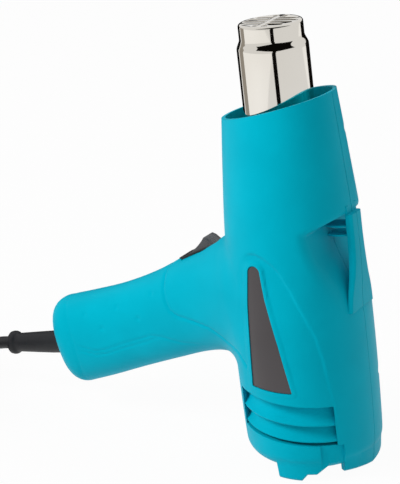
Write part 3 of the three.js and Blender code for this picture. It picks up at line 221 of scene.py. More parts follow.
# %% [markdown]
# ## The housing's shape
# The real housing is two moulded halves. Its barrel has an oval section that narrows towards
# a slanted mouth, and its handle has a squarer section that flares where it joins the barrel.
# Both follow a short list of stations with smooth values between them, as in the source.

# %% Stations of barrel and handle
BARREL = np.array([[6, 34.6, 40.8, 1], [22, 35.5, 41.4, 1], [57, 36.2, 42, 1], [93, 36.1, 41.3, 1],
                   [128, 35.8, 38.4, .8], [163, 33.6, 33.6, .4], [194.7, 31.2, 28.8, 0]])
HANDLE = np.array([[8.3, -28, 21.9, 17], [25, -27.2, 21.8, 17], [47, -25.5, 22.4, 16.8],
                   [70, -24.2, 25.4, 17.5], [91, -23.5, 30.4, 19.6], [105, -25.8, 33, 22.6],
                   [116, -33, 36, 26.6], [128, -40, 38, 32.4], [141, -44, 40, 37.6]])
RIM_LOW, RIM_ROUND, MOUTH_TOP, MOUTH_SLOPE = 6, 8, 194.7, .197
BUTT_START, BUTT_ROUND, SQUARENESS = -2.7, 11, 2.35
HANDLE_END = 141
LEVEL_UNTIL, SLANT_FROM = 70, 130   # heights between which the rings are square to the axis
WALL = 2.4


def along(stations, place, column):
    """Smooth value of one column of a station list at each place."""
    place = np.clip(place, stations[0, 0], stations[-1, 0])
    last = len(stations) - 1
    i = np.clip(np.searchsorted(stations[:, 0], place, side="left") - 1, 0, last - 1)
    span = stations[i + 1, 0] - stations[i, 0]
    before, after = np.maximum(np.arange(last + 1) - 1, 0), np.minimum(np.arange(last + 1) + 1, last)
    slope = ((stations[after, column] - stations[before, column])
             / (stations[after, 0] - stations[before, 0]))
    t = (place - stations[i, 0]) / span
    return (stations[i, column] * (2 * t**3 - 3 * t**2 + 1)
            + stations[i + 1, column] * (3 * t**2 - 2 * t**3)
            + slope[i] * span * (t**3 - 2 * t**2 + t) + slope[i + 1] * span * (t**3 - t**2))


def at(stations, place, *columns):
    """Plain numbers: the values of these columns at one place."""
    return [float(along(stations, np.array([float(place)]), k)[0]) for k in columns]


# %% Rings of the barrel


def tilt(height):
    """How steeply a ring of the barrel rises with x: level with the floor at the rear end,
    square to the axis in the middle, and level with the slanted mouth in front."""
    rear = -math.tan(LEAN) * (1 - height / LEVEL_UNTIL)
    front = MOUTH_SLOPE * (np.maximum(height - SLANT_FROM, 0) / (MOUTH_TOP - SLANT_FROM)) ** 1.5
    return np.where(height < LEVEL_UNTIL, rear, front)


def tilt_at(height):
    """The tilt of one ring, as a plain number."""
    return float(tilt(np.array([float(height)]))[0])


def rim_inset(height, start, radius):
    """How far a rounded end draws in, from its flat start over one radius."""
    t = 1 - np.clip((height - start) / radius, 0, 1)
    return radius * (1 - np.sqrt(1 - t * t))


def barrel_ring(height, inset, sides=96):
    """One ring of the barrel, drawn in by inset."""
    half_x, half_y, middle = at(BARREL, height, 1, 2, 3)
    turn = np.linspace(0, 2 * math.pi, sides, endpoint=False)
    x = middle + (half_x - inset) * np.sin(turn)
    y = -(half_y - inset) * np.cos(turn)
    return [Vector((a, b, height + tilt_at(height) * a)) * MM for a, b in zip(x, y)]


def barrel(name, inset, low, high, step=4, sides=96):
    """The barrel as a closed skin, drawn in by inset all round."""
    round_ = max(RIM_ROUND - inset, 2)
    heights = [low + round_ * (1 - math.cos(a)) for a in np.linspace(0, math.pi / 2, 7)]
    heights += list(np.arange(low + round_ + step, high - step / 2, step)) + [high]
    rings = [barrel_ring(h, inset + float(rim_inset(h, low, round_)), sides) for h in heights]
    return skin_through(name, rings)


# %% Rings of the handle


def handle_ring(place, inset, sides=72):
    """One squarish ring of the handle, drawn in by inset."""
    low, high, wide = at(HANDLE, place, 1, 2, 3)
    turn = np.linspace(0, 2 * math.pi, sides, endpoint=False)
    c, s = np.cos(turn), np.sin(turn)
    y = (wide - inset) * np.sign(c) * np.abs(c) ** (2 / SQUARENESS)
    z = (low + high) / 2 + ((high - low) / 2 - inset) * np.sign(s) * np.abs(s) ** (2 / SQUARENESS)
    return [Vector((place, a, b)) * MM for a, b in zip(y, z)]


def handle(name, inset, step=4, sides=72):
    """The handle as a closed skin from its rounded butt into the barrel."""
    round_ = BUTT_ROUND - inset
    start = BUTT_START + inset
    places = [start + round_ * (1 - math.cos(a)) for a in np.linspace(0, math.pi / 2, 8)]
    places += list(np.arange(start + round_ + step, HANDLE_END, step)) + [HANDLE_END]
    rings = [handle_ring(start - 1.2, inset + round_ * 1.4, sides)]
    rings += [handle_ring(u, inset + float(rim_inset(u, start, round_)), sides) for u in places]
    piece = skin_through(name, rings)
    return settle(piece, handle_in_tool)


print("stations:", len(BARREL), "of the barrel,", len(HANDLE), "of the handle")

# %% [markdown]
# ## One skin with soft joints
# Where the handle grows out of the barrel the mould has a generous fillet, and the recess
# under the hanging bridge has a soft lower edge. Joining two skins gives a hard crease, so
# the joined body is remeshed into small even faces, and every point is then drawn onto a
# smooth blend of the two shapes. The same step lays in the fine relief: the dish round the
# label and the parting lines of the grip.

# %% Distances to the shapes
HANDLE_BACK = np.array(handle_in_tool.inverted())


def barrel_gap(p):
    """How far points, in mm, lie outside the barrel's side."""
    x, y, z = p.T
    height = z.copy()
    for _ in range(5):
        height = z - tilt(height) * x
    inset = rim_inset(height, RIM_LOW, RIM_ROUND)
    a, b, c = (along(BARREL, height, k) for k in (1, 2, 3))
    around = np.hypot((x - c) / (a - inset), y / (b - inset)) + 1e-9
    return (around - 1) * np.hypot(x - c, y) / around


def handle_gap(p):
    """How far points, in mm, lie outside the handle's side, and where they are in its frame."""
    q = p @ HANDLE_BACK[:3, :3].T + HANDLE_BACK[:3, 3] * 1000
    u, y, v = q.T
    low, high, wide = (along(HANDLE, u, k) for k in (1, 2, 3))
    inset = rim_inset(u, BUTT_START, BUTT_ROUND)
    middle, tall, power = (low + high) / 2, (high - low) / 2 - inset, SQUARENESS
    around = (np.abs(y / (wide - inset)) ** power + np.abs((v - middle) / tall) ** power) ** (1 / power)
    around += 1e-9
    return (around - 1) * np.hypot(y, v - middle) / around, q


# %% Soft joints


def meet(a, b, radius):
    """The smaller of two distances, with the joint rounded."""
    h = np.maximum(radius - np.abs(a - b), 0) / radius
    return np.minimum(a, b) - h * h * radius / 4


def recess_gap(p):
    """How far points lie outside the soft part of the recess behind the bridge."""
    x, _, z = p.T
    slope = -((x - 35.2) * .9206 + (z - 92.4) * .3905)
    back = 21.8 - x
    floor = -meet(-slope, -back, 5)
    top = z - (131.9 + .38 * (x - 21.8) - 1.2)
    return np.maximum(floor, top)


# %% Lines in the side view


def line_side(x, z, outline, closed=True):
    """Distance of points to an outline in the side view, and whether they are inside it."""
    corners = np.array(outline, float)
    ends = np.roll(corners, -1, axis=0) if closed else corners[1:]
    starts = corners if closed else corners[:-1]
    best, inside = np.full(x.shape, 1e9), np.zeros(x.shape, bool)
    for (x0, z0), (x1, z1) in zip(starts, ends):
        t = np.clip(((x - x0) * (x1 - x0) + (z - z0) * (z1 - z0)) / ((x1 - x0)**2 + (z1 - z0)**2), 0, 1)
        best = np.minimum(best, np.hypot(x - x0 - t * (x1 - x0), z - z0 - t * (z1 - z0)))
        crosses = (z0 > z) != (z1 > z)
        with np.errstate(divide="ignore", invalid="ignore"):
            inside ^= crosses & (x < (x1 - x0) * (z - z0) / (z1 - z0) + x0)
    return best, inside


def ease(value, low, high):
    """A smooth step from 0 at low to 1 at high."""
    t = np.clip((value - low) / (high - low), 0, 1)
    return t * t * (3 - 2 * t)


beside = float(barrel_gap(np.array([[0, -60.0, 93.0]]))[0])
print(f"a point 60 mm beside the seam lies {beside:.1f} mm outside the barrel")

# %% [markdown]
# ## Relief lines of the mould
# The plate on each side stands on a low rim inside a shallow dish, whose outer edge is a crisp
# arch over the tip of the plate that fades on its way down. The grip has one parting line round
# it, a double line along its lower flank, a line round its butt and five shallow dimples. Each
# is a distance in the side view, turned into a rise or fall of the skin.

# %% Lines of the mould
LABEL = [(-12.8, 51.2), (-.9, 49.6), (10.7, 48.3), (6, 74.8), (.7, 100.3)]
LABEL += [(-4.9 + 3.9 * math.cos(a), 113.4 + 3.9 * math.sin(a)) for a in np.linspace(-.1, 3.3, 12)]
LABEL += [(-10.5, 96.3), (-11.7, 72.5)]
DISH = [(-21, 34), (29, 30), (28.4, 40.9), (27.7, 47.7), (26.3, 64.5), (24.2, 77.8), (20.1, 90.2),
        (14.4, 105.4), (9.6, 114.6), (6.4, 118.6), (1.6, 122), (-3.4, 124.2), (-8.6, 124),
        (-13.6, 120.5), (-17, 112), (-19, 96), (-20.5, 70)]
GRIP_LINE = [(82.4, 34), (81.4, 25.7), (80.6, 18.8), (80.6, 11.3), (82, 6), (85.8, 2.2), (96.1, -2.4),
             (104.5, -6.7), (110.6, -11.8), (114.3, -15.7), (124.4, -20.5), (132, -31)]
FLANK_LINE = [(13.6, -3), (18.5, -5.5), (25, -8.6), (32.4, -9.2), (42.6, -8), (52.6, -7.1), (64.7, -6.1),
              (70.7, -7.9), (76, -10.6), (82, -13.6), (90.3, -16)]
BUTT_LINE = [(10.5, 24), (12.6, 12), (13.2, -3), (12, -14), (9.3, -24)]
DIMPLES = [(24.7, 12.1), (46.7, 12.8), (71.4, 16.5), (59.6, 4.7), (34.8, 3.1)]

# %% Relief of the skin


def signed(x, z, outline):
    """Distance to a closed outline, positive inside it."""
    far, inside = line_side(x, z, outline)
    return np.where(inside, far, -far)


def groove(far, width, depth):
    """How much the skin sinks at a distance from the line of a soft groove."""
    return -depth * np.exp(-(far / width) ** 2)


def relief(p):
    """How much the skin rises at each point, in mm."""
    x, y, z = p.T
    rise = np.zeros(len(p))
    flank = (np.abs(y) > 14) & (z < 127) & (x > -26)
    a, c = x[flank], z[flank]
    plate_ = -signed(a, c, LABEL)
    dish = signed(a, c, DISH)
    left = ease(-6 - a, -2, 6)
    depth = .5 + .6 * ease(c, 84, 116) - .25 * ease(62 - c, 0, 16)
    sides = ease(dish, 0, 1.1) * (1 - left) + ease(dish, 0, 7) * left
    plateau = ease(plate_, 1.5, 2.7) * (1 - left) + ease(plate_, 1.5, 5.5) * left
    rise[flank] = -depth * sides * plateau
    _, q = handle_gap(p)
    u, v = q[:, 0], q[:, 2]
    grip = (x < -16) & (u < 134)
    u, v = u[grip], v[grip]
    add_up = groove(line_side(u, v, GRIP_LINE, False)[0], .75, .75)
    fade = ease(u, 12, 22) * (1 - .6 * ease(u, 72, 92))
    for offset in (0, 2.4):
        far = line_side(u, v + offset * (1 - ease(u, 60, 74)), FLANK_LINE, False)[0]
        add_up += groove(far, .6, .38) * fade * (1 if offset == 0 else 1 - ease(u, 62, 72))
    add_up += groove(line_side(u, v, BUTT_LINE, False)[0], .9, .26)
    for du, dv in DIMPLES:
        add_up += groove(np.hypot(u - du, v - dv), 1.2, .5)
    rise[grip] += add_up
    return rise


print("dimples:", len(DIMPLES), "corners of the dish:", len(DISH))

# %% [markdown]
# ## The outer body
# Barrel and handle are joined, the recess is cut roughly, and the voxel remesh turns the
# result into even faces of less than a millimetre. Then a few Newton steps draw each point
# onto the blended shape with its relief. Points on the flat base are left where they are.

# %% Plates and Booleans


def plate(name, outline, near, far):
    """An outline of (x, z) in mm, extruded across from y = near to y = far."""
    rings = [[Vector((x, y, z)) * MM for x, z in outline] for y in (near, far)]
    return skin_through(name, rings)


def boolean(piece, tool, kind="DIFFERENCE", keep=False):
    """Cut with, add or keep what is shared with another closed piece, which is then removed."""
    alone(piece)
    step = piece.modifiers.new("boolean", "BOOLEAN")
    step.operation, step.object, step.solver = kind, tool, "MANIFOLD"
    bpy.ops.object.modifier_apply(modifier=step.name)
    if not keep:
        bpy.data.objects.remove(tool)
    return piece


def tell(piece, when=""):
    """Print how many faces a piece has."""
    print(piece.name, when, len(piece.data.polygons), "faces")


# %% Recess and blended body
RECESS = {"low_x": 35.2, "low": 92.4, "lip": 4, "deep_x": 21.8, "deep": 124, "step": 131.9, "rise": .38}
REACH = 60                          # half the length of tools that cut right across
FILLET, SOFT_EDGE, KEEP_IN = 7, 4, .1
HANDLE_FADE = (14, 124, 156, 150)   # how much the handle shrinks, from where to where, its end
NUDGE, LONGEST_MOVE = .05, .8       # the step that measures a slope, and the limit of a move
VOXEL = .85


def recess_outline(grow):
    """The recess behind the bridge in the side view, larger by grow all round."""
    r = RECESS
    top = [r["step"] + r["rise"] * (x - r["deep_x"]) + grow for x in (r["deep_x"], REACH)]
    bottom = r["low"] - r["lip"] - grow
    return [(REACH, bottom), (r["low_x"] + r["lip"] / 2 - grow, bottom),
            (r["low_x"] - grow, r["low"]), (r["deep_x"] - grow, r["deep"]),
            (r["deep_x"] - grow, top[0]), (REACH, top[1])]


def body_gap(p):
    """How far points lie outside the blended body, which stays a hair inside the solids."""
    side = barrel_gap(p) + KEEP_IN
    grip, q = handle_gap(p)
    u = q[:, 0]
    # inside the barrel the handle shrinks and ends, so that it doesn't bulge out on the far side
    shrink, start, stop, end = HANDLE_FADE
    grip = np.maximum(grip + shrink * ease(u, start, stop), u - end)
    return -meet(-meet(side, grip, FILLET), recess_gap(p), SOFT_EDGE)


# %% Points drawn onto a shape


def draw_onto(piece, gap, reach=3.5, rounds=4, rise=None):
    """Move the points of a piece that lie near a shape onto it, or above it by a rise."""
    mesh = piece.data
    p = np.empty(len(mesh.vertices) * 3)
    mesh.vertices.foreach_get("co", p)
    p = p.reshape(-1, 3) / MM
    lift = rise(p) if rise else 0
    for _ in range(rounds):
        value = gap(p)
        slope = np.stack([(gap(p + step) - value) / NUDGE for step in np.eye(3) * NUDGE], axis=1)
        near = np.abs(value) < reach
        value = value - lift
        move = value / np.maximum((slope**2).sum(axis=1), .3)
        p[near] -= (slope * np.clip(move, -LONGEST_MOVE, LONGEST_MOVE)[:, None])[near]
    mesh.vertices.foreach_set("co", (p * MM).ravel())
    mesh.update()
    return piece


# %% Outer body
body = barrel("housing_body", 0, RIM_LOW, MOUTH_TOP + 8, step=3)
boolean(body, handle("handle_body", 0, step=3), "UNION")
boolean(body, plate("recess_rough", recess_outline(-.2), -REACH, REACH))
alone(body)
body.data.remesh_voxel_size = VOXEL * MM
bpy.ops.object.voxel_remesh()
draw_onto(body, body_gap)
draw_onto(body, body_gap, rounds=2, rise=relief)
tell(body)

# %% [markdown]
# ## Crisp cuts
# What a mould makes sharp is cut with closed tools: the slanted mouth, the upper edge of the
# recess, the hollow inside, the air intake with its frame and two curved blades, the feet, the
# shallow step in the rim, the pocket of each plate, and the openings of switch, cord and screws.

# %% Rounded outlines


def rounded(points, radius, count=4):
    """A closed outline with each corner turned into an arc. radius may be one number or a list."""
    radii = radius if isinstance(radius, (list, tuple)) else [radius] * len(points)
    outline = []
    for i, r in enumerate(radii):
        a, b, c = (Vector(points[(i + k) % len(points)]) for k in (-1, 0, 1))
        if r == 0:
            outline.append(tuple(b))
            continue
        to_a, to_c = (a - b).normalized(), (c - b).normalized()
        half = to_a.angle(to_c) / 2
        reach = min(r / math.tan(half), (a - b).length * .49, (c - b).length * .49)
        start, end = b + to_a * reach, b + to_c * reach
        for k in range(count + 1):
            f = k / count
            outline.append(tuple((1 - f) ** 2 * start + 2 * f * (1 - f) * b + f * f * end))
    return outline


# %% Mouth, recess and hollow
mouth = [(-REACH, MOUTH_TOP - MOUTH_SLOPE * REACH), (REACH, MOUTH_TOP + MOUTH_SLOPE * REACH),
         (REACH, 260), (-REACH, 260)]
boolean(body, plate("mouth_cut", mouth, -REACH, REACH))
top_edge = recess_outline(0)
crisp = rounded([(27.2, 112), (25.6, 116), (24.4, 120), (23.4, 124), (22.7, 128), (22.1, 132.3),
                 (REACH, top_edge[-1][1] + .4), (REACH, 112)], [0, 0, 0, 0, 0, 2.6, 0, 0], 8)
boolean(body, plate("recess_top", crisp, -REACH, REACH))
hollow = barrel("hollow", WALL, 9, MOUTH_TOP + 10, step=8, sides=64)
boolean(hollow, handle("handle_hollow", WALL, step=6, sides=48), "UNION")
boolean(hollow, plate("recess_wall", recess_outline(2.2), -REACH, REACH))
boolean(body, hollow)
tell(body, "after the hollow:")

# %% [markdown]
# Moulded halves are thin, so ribs across them carry the duct and the tube, and hollow posts
# take the screws. A rib is turned as a flat ring and kept only inside the barrel's wall. A post
# runs from skin to skin, with a wider cup where the screw's head sits.

# %% Turned profiles and round bars


def turned(name, profile, steps=96):
    """Spin a closed profile of (radius, height) in mm round the z axis."""
    bpy.ops.object.select_all(action="DESELECT")
    bpy.ops.mesh.primitive_circle_add(vertices=len(profile), fill_type="NOTHING")
    piece = bpy.context.object
    piece.name = name
    for corner, (radius, height) in zip(piece.data.vertices, profile):
        corner.co = (radius * MM, 0, height * MM)
    bpy.ops.object.mode_set(mode="EDIT")
    bpy.ops.mesh.select_all(action="SELECT")
    bpy.ops.mesh.spin(steps=steps, angle=2 * math.pi, center=(0, 0, 0), axis=(0, 0, 1))
    bpy.ops.mesh.select_all(action="SELECT")
    bpy.ops.mesh.remove_doubles(threshold=1e-6)
    bpy.ops.mesh.normals_make_consistent(inside=False)
    bpy.ops.object.mode_set(mode="OBJECT")
    return piece


def rod(name, x, z, radius, near, far, sides=32):
    """A round bar across the tool, from y = near to y = far."""
    turns = [2 * math.pi * i / sides for i in range(sides)]
    return plate(name, [(x + radius * math.cos(a), z + radius * math.sin(a)) for a in turns], near, far)


# %% Ribs inside, and bosses for the screws
SCREWS = [(27, 178), (-27, 172), (30.4, 43), (-30, 36)]
SCREWS += [tuple((handle_in_tool @ Vector((u * MM, 0, v * MM)) / MM).xz) for u, v in
           [(88, -17), (62, 16.4), (9, 13.2)]]
SCREW = {"shank": 1.9, "head": 3.5, "high": 2.2, "seat": 8.6, "tip": -7.6, "post": 3.9, "cup": 5.4,
         "well": 4, "bore": 2.4}
RIBS = {"rib_duct": (47.3, 27.1), "rib_neck": (127, 19.1), "rib_tube_low": (139.5, 19.1),
        "rib_tube_high": (142.7, 19.1)}
RIB_THICK = 1.4
inside = barrel("inside", WALL / 2, 7, MOUTH_TOP + 6, step=8, sides=64)
boolean(inside, plate("recess_ribs", recess_outline(1.2), -REACH, REACH))
for name, (low, bore) in RIBS.items():
    high = low + RIB_THICK
    rib = turned(name, [(bore, low), (REACH, low), (REACH, high), (bore, high)], steps=64)
    boolean(rib, inside, "INTERSECT", keep=True)
    boolean(body, rib, "UNION")
bpy.data.objects.remove(inside)
skin = barrel("skin", .6, RIM_LOW, MOUTH_TOP, step=6)
boolean(skin, handle("handle_skin", .6), "UNION")
for number, (x, z) in enumerate(SCREWS):
    post = rod(f"post_{number}", x, z, SCREW["post"], -REACH, REACH)
    boolean(post, rod(f"cup_{number}", x, z, SCREW["cup"], SCREW["seat"] - 2, REACH), "UNION")
    boolean(post, skin, "INTERSECT", keep=True)
    boolean(body, post, "UNION")
bpy.data.objects.remove(skin)
tell(body, "after the ribs:")

# %% [markdown]
# The air intake is a deep window in each side. Its two blades are curved outwards like
# gutters: each starts at a thin rounded lip near the surface and runs up and inwards, so that
# nothing can fall straight in. The blades are skins through sections round the barrel.

# %% Copies and mirror images


def copy_of(piece, name):
    """A copy with its own mesh."""
    twin = piece.copy()
    twin.data = piece.data.copy()
    twin.name = name
    scene.collection.objects.link(twin)
    return twin


def mirror_of(piece, name):
    """A copy on the other side of the seam, with its faces turned outwards again."""
    twin = alone(copy_of(piece, name))
    bpy.ops.transform.mirror(orient_type="GLOBAL", constraint_axis=(False, True, False),
                             center_override=(0, 0, 0))
    bpy.ops.object.transform_apply(location=True, rotation=True, scale=True)
    bpy.ops.object.mode_set(mode="EDIT")
    bpy.ops.mesh.select_all(action="SELECT")
    bpy.ops.mesh.normals_make_consistent(inside=False)
    bpy.ops.object.mode_set(mode="OBJECT")
    return twin


def on_side(piece, side):
    """The piece as it is for the -Y side, or its mirror image instead of it for the +Y side."""
    if side < 0:
        return piece
    twin = mirror_of(piece, piece.name + "_twin")
    bpy.data.objects.remove(piece)
    return twin


# %% Air intake
VENT = {"left": -24, "right": 27.5, "top": 43.3, "bottom": 21.4, "slope": -.18}
VENT_Y = 22                         # how far from the seam the windows begin
LIPS = (33.2, 24.2)                 # heights of the blades' lips


def window(grow):
    """The outline of the air intake in the side view, larger by grow."""
    v = VENT
    return [(v["left"] - grow, v["bottom"] - 3 * v["slope"] + v["slope"] * v["left"] - grow),
            (v["right"] + grow, v["bottom"] + v["slope"] * v["right"] - grow),
            (v["right"] + grow, v["top"] + v["slope"] * v["right"] + grow),
            (v["left"] - grow, v["top"] + v["slope"] * v["left"] + grow)]


def skin_point(height, inset, turn):
    """A point of the barrel's side in mm, at a turn from the -Y side towards +X."""
    half_x, half_y, middle = at(BARREL, height, 1, 2, 3)
    x = middle + (half_x - inset) * math.sin(turn)
    return Vector((x, -(half_y - inset) * math.cos(turn), height + tilt_at(height) * x))


def blade(name, lip):
    """One louvre blade of the -Y side with its lip at this height above the window's slope."""
    bend = [(0, 0), (4.1, 2.8), (5.2, 9.4)]
    outer = []
    for k in range(11):
        f = k / 10
        outer.append(tuple((1 - f)**2 * bend[0][i] + 2 * f * (1 - f) * bend[1][i]
                           + f * f * bend[2][i] for i in (0, 1)))
    bead = [(.2 + .95 * (1 - math.cos(a)), -.95 * math.sin(a)) for a in np.linspace(0, math.pi, 9)]
    section = list(reversed(outer[1:])) + bead + [(i + 1.5, u + .2) for i, u in outer[2:]]
    rings = []
    for turn in np.radians(np.linspace(-52, 60, 57)):
        ring = []
        for inset, up in section:
            p = skin_point(lip + up, inset + .35, turn)
            p.z = lip + up + VENT["slope"] * p.x
            ring.append(p * MM)
        rings.append(ring)
    return skin_through(name, rings)


# %% Windows and blades
shell = barrel("frame_outer", .6, RIM_LOW, MOUTH_TOP, step=4)
boolean(shell, barrel("frame_inner", 6.2, 9, MOUTH_TOP + 8, step=4))
limit = barrel("blade_limit", .1, RIM_LOW, MOUTH_TOP, step=4)
for side in (-1, 1):
    near, far = sorted((side * REACH, side * VENT_Y))
    frame_wall = plate("vent_frame", window(2.4), near, far)
    boolean(frame_wall, shell, "INTERSECT", keep=True)
    boolean(body, frame_wall, "UNION")
    boolean(body, plate("vent_cut", window(0), near, far))
    for number, lip in enumerate(LIPS):
        louvre = on_side(blade(f"blade_{number}", lip), side)
        boolean(louvre, limit, "INTERSECT", keep=True)
        boolean(louvre, plate("blade_room", window(1.2), near, far), "INTERSECT")
        boolean(body, louvre, "UNION")
bpy.data.objects.remove(shell)
bpy.data.objects.remove(limit)
tell(body, "after the air intake:")

# %% [markdown]
# The tool can stand on its rear end. Short feet hang under the rim: one pair in front with a
# stepped flank, and one wide pair under the bridge and under the handle. Each foot is a skin
# whose sections go round the rim, and a list of angles and heights gives its lower edge.

# %% Foot and band round the rim


def turn_at(degrees):
    """The turn along the oval rim whose point lies at this angle from the -Y side."""
    a, b = at(BARREL, RIM_LOW, 1, 2)
    angle = math.radians(degrees)
    return math.atan2(math.sin(angle) / a, math.cos(angle) / b)


def foot(name, edge, inset_low):
    """A foot under the rim, with its lower edge through (degrees, height) pairs."""
    places = []
    for (a0, h0), (a1, h1) in zip(edge, edge[1:]):
        count = max(int(abs(a1 - a0) / 2), 1)
        places += [(a0 + (a1 - a0) * k / count, h0 + (h1 - h0) * k / count) for k in range(count)]
    rings = []
    for degrees, low in places + [edge[-1]]:
        turn = turn_at(degrees)
        steps = [(h, inset_low - (inset_low - .5) * h / 14) for h in (low + 1, low + 4, low + 8, 14)]
        rings.append([skin_point(h, inset, turn) * MM for h, inset in (
            (low, inset_low + .7), *steps, (14, 6), (low, inset_low + 3.4))])
    return skin_through(name, rings)


def band(name, start, end, depth):
    """The tool that cuts a shallow step into the rim, below the air intake."""
    rings = []
    for degrees in np.linspace(start, end, 10):
        turn = turn_at(degrees)
        top = VENT["bottom"] + VENT["slope"] * skin_point(14, 0, turn).x + 2.6
        rings.append([skin_point(h, inset, turn) * MM for h, inset in (
            (-3, depth), (14, depth), (top, depth), (top, -9), (14, -9), (-3, -9))])
    return skin_through(name, rings)


# %% Feet
FEET = {"front": [(-6, 0), (13, 0), (18, 3.4), (25.5, 3.4), (35.5, 7.6)],
        "ridge": [(50, 3.6), (70, 2.8), (90.5, 1.6)], "handle": [(-90.5, 0), (-78, 0)]}
FOOT_INSET = {"front": 2.2, "ridge": 1.6, "handle": 2.2}
RIM_STEP = (30, 50, 1.5)            # from and to in degrees, and its depth
for side in (-1, 1):
    for name, edge in FEET.items():
        boolean(body, on_side(foot("foot_" + name, edge, FOOT_INSET[name]), side), "UNION")
    boolean(body, on_side(band("rim_step", *RIM_STEP), side))
tell(body, "after the feet:")

# %% [markdown]
# The hanging bridge is a strip that leaves the barrel's side below and ends free just under
# the upper edge of the recess, with a small tongue behind the edge. Two thin webs tie it to
# the wall of the recess, as ribs that the eye sees through the gap.

# %% Upright slabs


def slab(name, outline, low, high):
    """An outline of (x, y) in mm, extruded upwards from z = low to z = high."""
    return skin_through(name, [[Vector((x, y, z)) * MM for x, y in outline] for z in (low, high)])


# %% Hanging bridge
BRIDGE = np.array([[-56.2, 34.9, 36.9, 14], [-47.2, 34.9, 37.4, 12.4], [-38.2, 34.9, 38.1, 9.3],
                   [-28.2, 34.9, 38.5, 7.3], [-17.2, 34.8, 38.5, 6.5], [-4.7, 34.8, 38.4, 6.5]])
FLANGE = 141.2
WEB = {"heights": (124.6, 129.4), "thick": 1, "x": 28.4, "half_x": 8, "half_y": 6.2}


def bridge_ring(height, inner, outer, half, corner=1.9):
    """A section of the strip, flat inside and with rounded corners outside."""
    arc = [(outer - corner + corner * math.cos(a), half - corner + corner * math.sin(a))
           for a in np.linspace(0, math.pi / 2, 6)]
    ring = [(inner, -half)] + [(x, -y) for x, y in reversed(arc)] + arc + [(inner, half)]
    return [Vector((x, y, height + FLANGE)) * MM for x, y in ring]


heights = np.linspace(-56.2, -4.7, 20)
rings = [bridge_ring(h, *at(BRIDGE, h, 1, 2, 3)) for h in heights]
rings += [bridge_ring(h, 34.8, 35.7, 6, .4) for h in (-4.6, -.2)]
boolean(body, skin_through("bridge", rings), "UNION")
for number, height in enumerate(WEB["heights"]):
    web = [(WEB["x"] + WEB["half_x"] * math.cos(a), WEB["half_y"] * math.sin(a))
           for a in np.linspace(0, 2 * math.pi, 32, endpoint=False)]
    boolean(body, slab(f"web_{number}", web, height, height + WEB["thick"]), "UNION")
tell(body, "after the bridge:")

# %% [markdown]
# Pockets and openings come last, and then the body is parted along the seam. The halves lie
# 0.3 mm apart, which shows as the thin line of a real mould seam.

# %% Smooth shading


def smooth(piece, angle=32):
    """Shade smooth, except over edges sharper than an angle."""
    alone(piece)
    bpy.ops.object.shade_smooth_by_angle(angle=math.radians(angle))
    return piece


# %% Pockets and wells
LABEL_CORNERS = [.8] * 3 + [0] * (len(LABEL) - 3)
pocket = plate("pocket", rounded(LABEL, LABEL_CORNERS), -REACH, REACH)
core = barrel("pocket_floor", 1.3, RIM_LOW, MOUTH_TOP, step=4)
boolean(pocket, core)
boolean(body, pocket)
for number, (x, z) in enumerate(SCREWS):
    boolean(body, rod(f"well_{number}", x, z, SCREW["well"], SCREW["seat"], REACH))
    boolean(body, rod(f"bore_{number}", x, z, SCREW["bore"], SCREW["tip"] - .8, SCREW["seat"] + 1))

# %% Openings and the two halves


def block(name, half_x, half_y, low, high, corner=1.2, x=0):
    """An upright block with rounded corners, centred on its own z axis or on a place along x."""
    outline = rounded([(x - half_x, -half_y), (x + half_x, -half_y), (x + half_x, half_y),
                       (x - half_x, half_y)], corner)
    return slab(name, outline, low, high)


switch_in_tool = tool_frame.inverted() @ switch_frame
relief_in_tool = tool_frame.inverted() @ relief_frame
boolean(body, settle(block("switch_cut", 13, 6.8, -8, 14), switch_in_tool))
boolean(body, settle(block("bezel_cut", 14.1, 7.9, -.3, 14, 2.2), switch_in_tool))
sleeve = turned("relief_cut", [(0, -12), (6.6, -12), (6.6, 20), (0, 20)], steps=48)
boolean(body, settle(sleeve, relief_in_tool @ Matrix.Rotation(math.pi / 2, 4, "Y")))
housings = []
SEAM_HALF, FAR = .15, 400
all_round = [(-FAR, -FAR), (FAR, -FAR), (FAR, FAR), (-FAR, FAR)]
for name, near, far in (("housing_left_moulding", -FAR, -SEAM_HALF),
                        ("housing_right_moulding", SEAM_HALF, FAR)):
    half = copy_of(body, name)
    boolean(half, plate("side", all_round, near, far), "INTERSECT")
    smooth(settle(half, tool_frame))
    housings.append(half)
    tell(half)
bpy.data.objects.remove(body)

# %% [markdown]
# ## Nodes and colours
# A material is a small network. One function adds a node with its settings and links, and
# one turns a colour as a picture shows it into the linear numbers that a shader expects.

# %% Node and colour helpers


def linear(colour):
    """The linear colour of an sRGB hex value such as '#00A6C0'."""
    values = [int(colour[i:i + 2], 16) / 255 for i in (1, 3, 5)]
    return [v / 12.92 if v <= .04045 else ((v + .055) / 1.055) ** 2.4 for v in values] + [1]


def bare_material(name):
    """A material with an empty network."""
    material = bpy.data.materials.new(name)
    material.use_nodes = True
    material.node_tree.nodes.clear()
    return material


def add(material, kind, settings=(), **links):
    """Add a node to a material or world. settings are its properties, and each link fills an
    input by its name, or by its number where a node has several of one name."""
    node = material.node_tree.nodes.new("ShaderNode" + kind)
    for name, value in dict(settings).items():
        setattr(node, name, value)
    for name, value in links.items():
        socket = node.inputs[int(name[2:])] if name.startswith("in") and name[2:].isdigit() \
            else node.inputs[name.replace("_", " ")]
        if isinstance(value, bpy.types.NodeSocket):
            material.node_tree.links.new(value, socket)
        else:
            socket.default_value = value
    return node


def new_finish(name, **shader):
    """A material with its shader, and the Object coordinates that its patterns read."""
    material = bare_material(name)
    coords = add(material, "TexCoord").outputs["Object"]
    surface = add(material, "BsdfPrincipled", **shader)
    add(material, "OutputMaterial", Surface=surface.outputs[0])
    return material, coords, surface


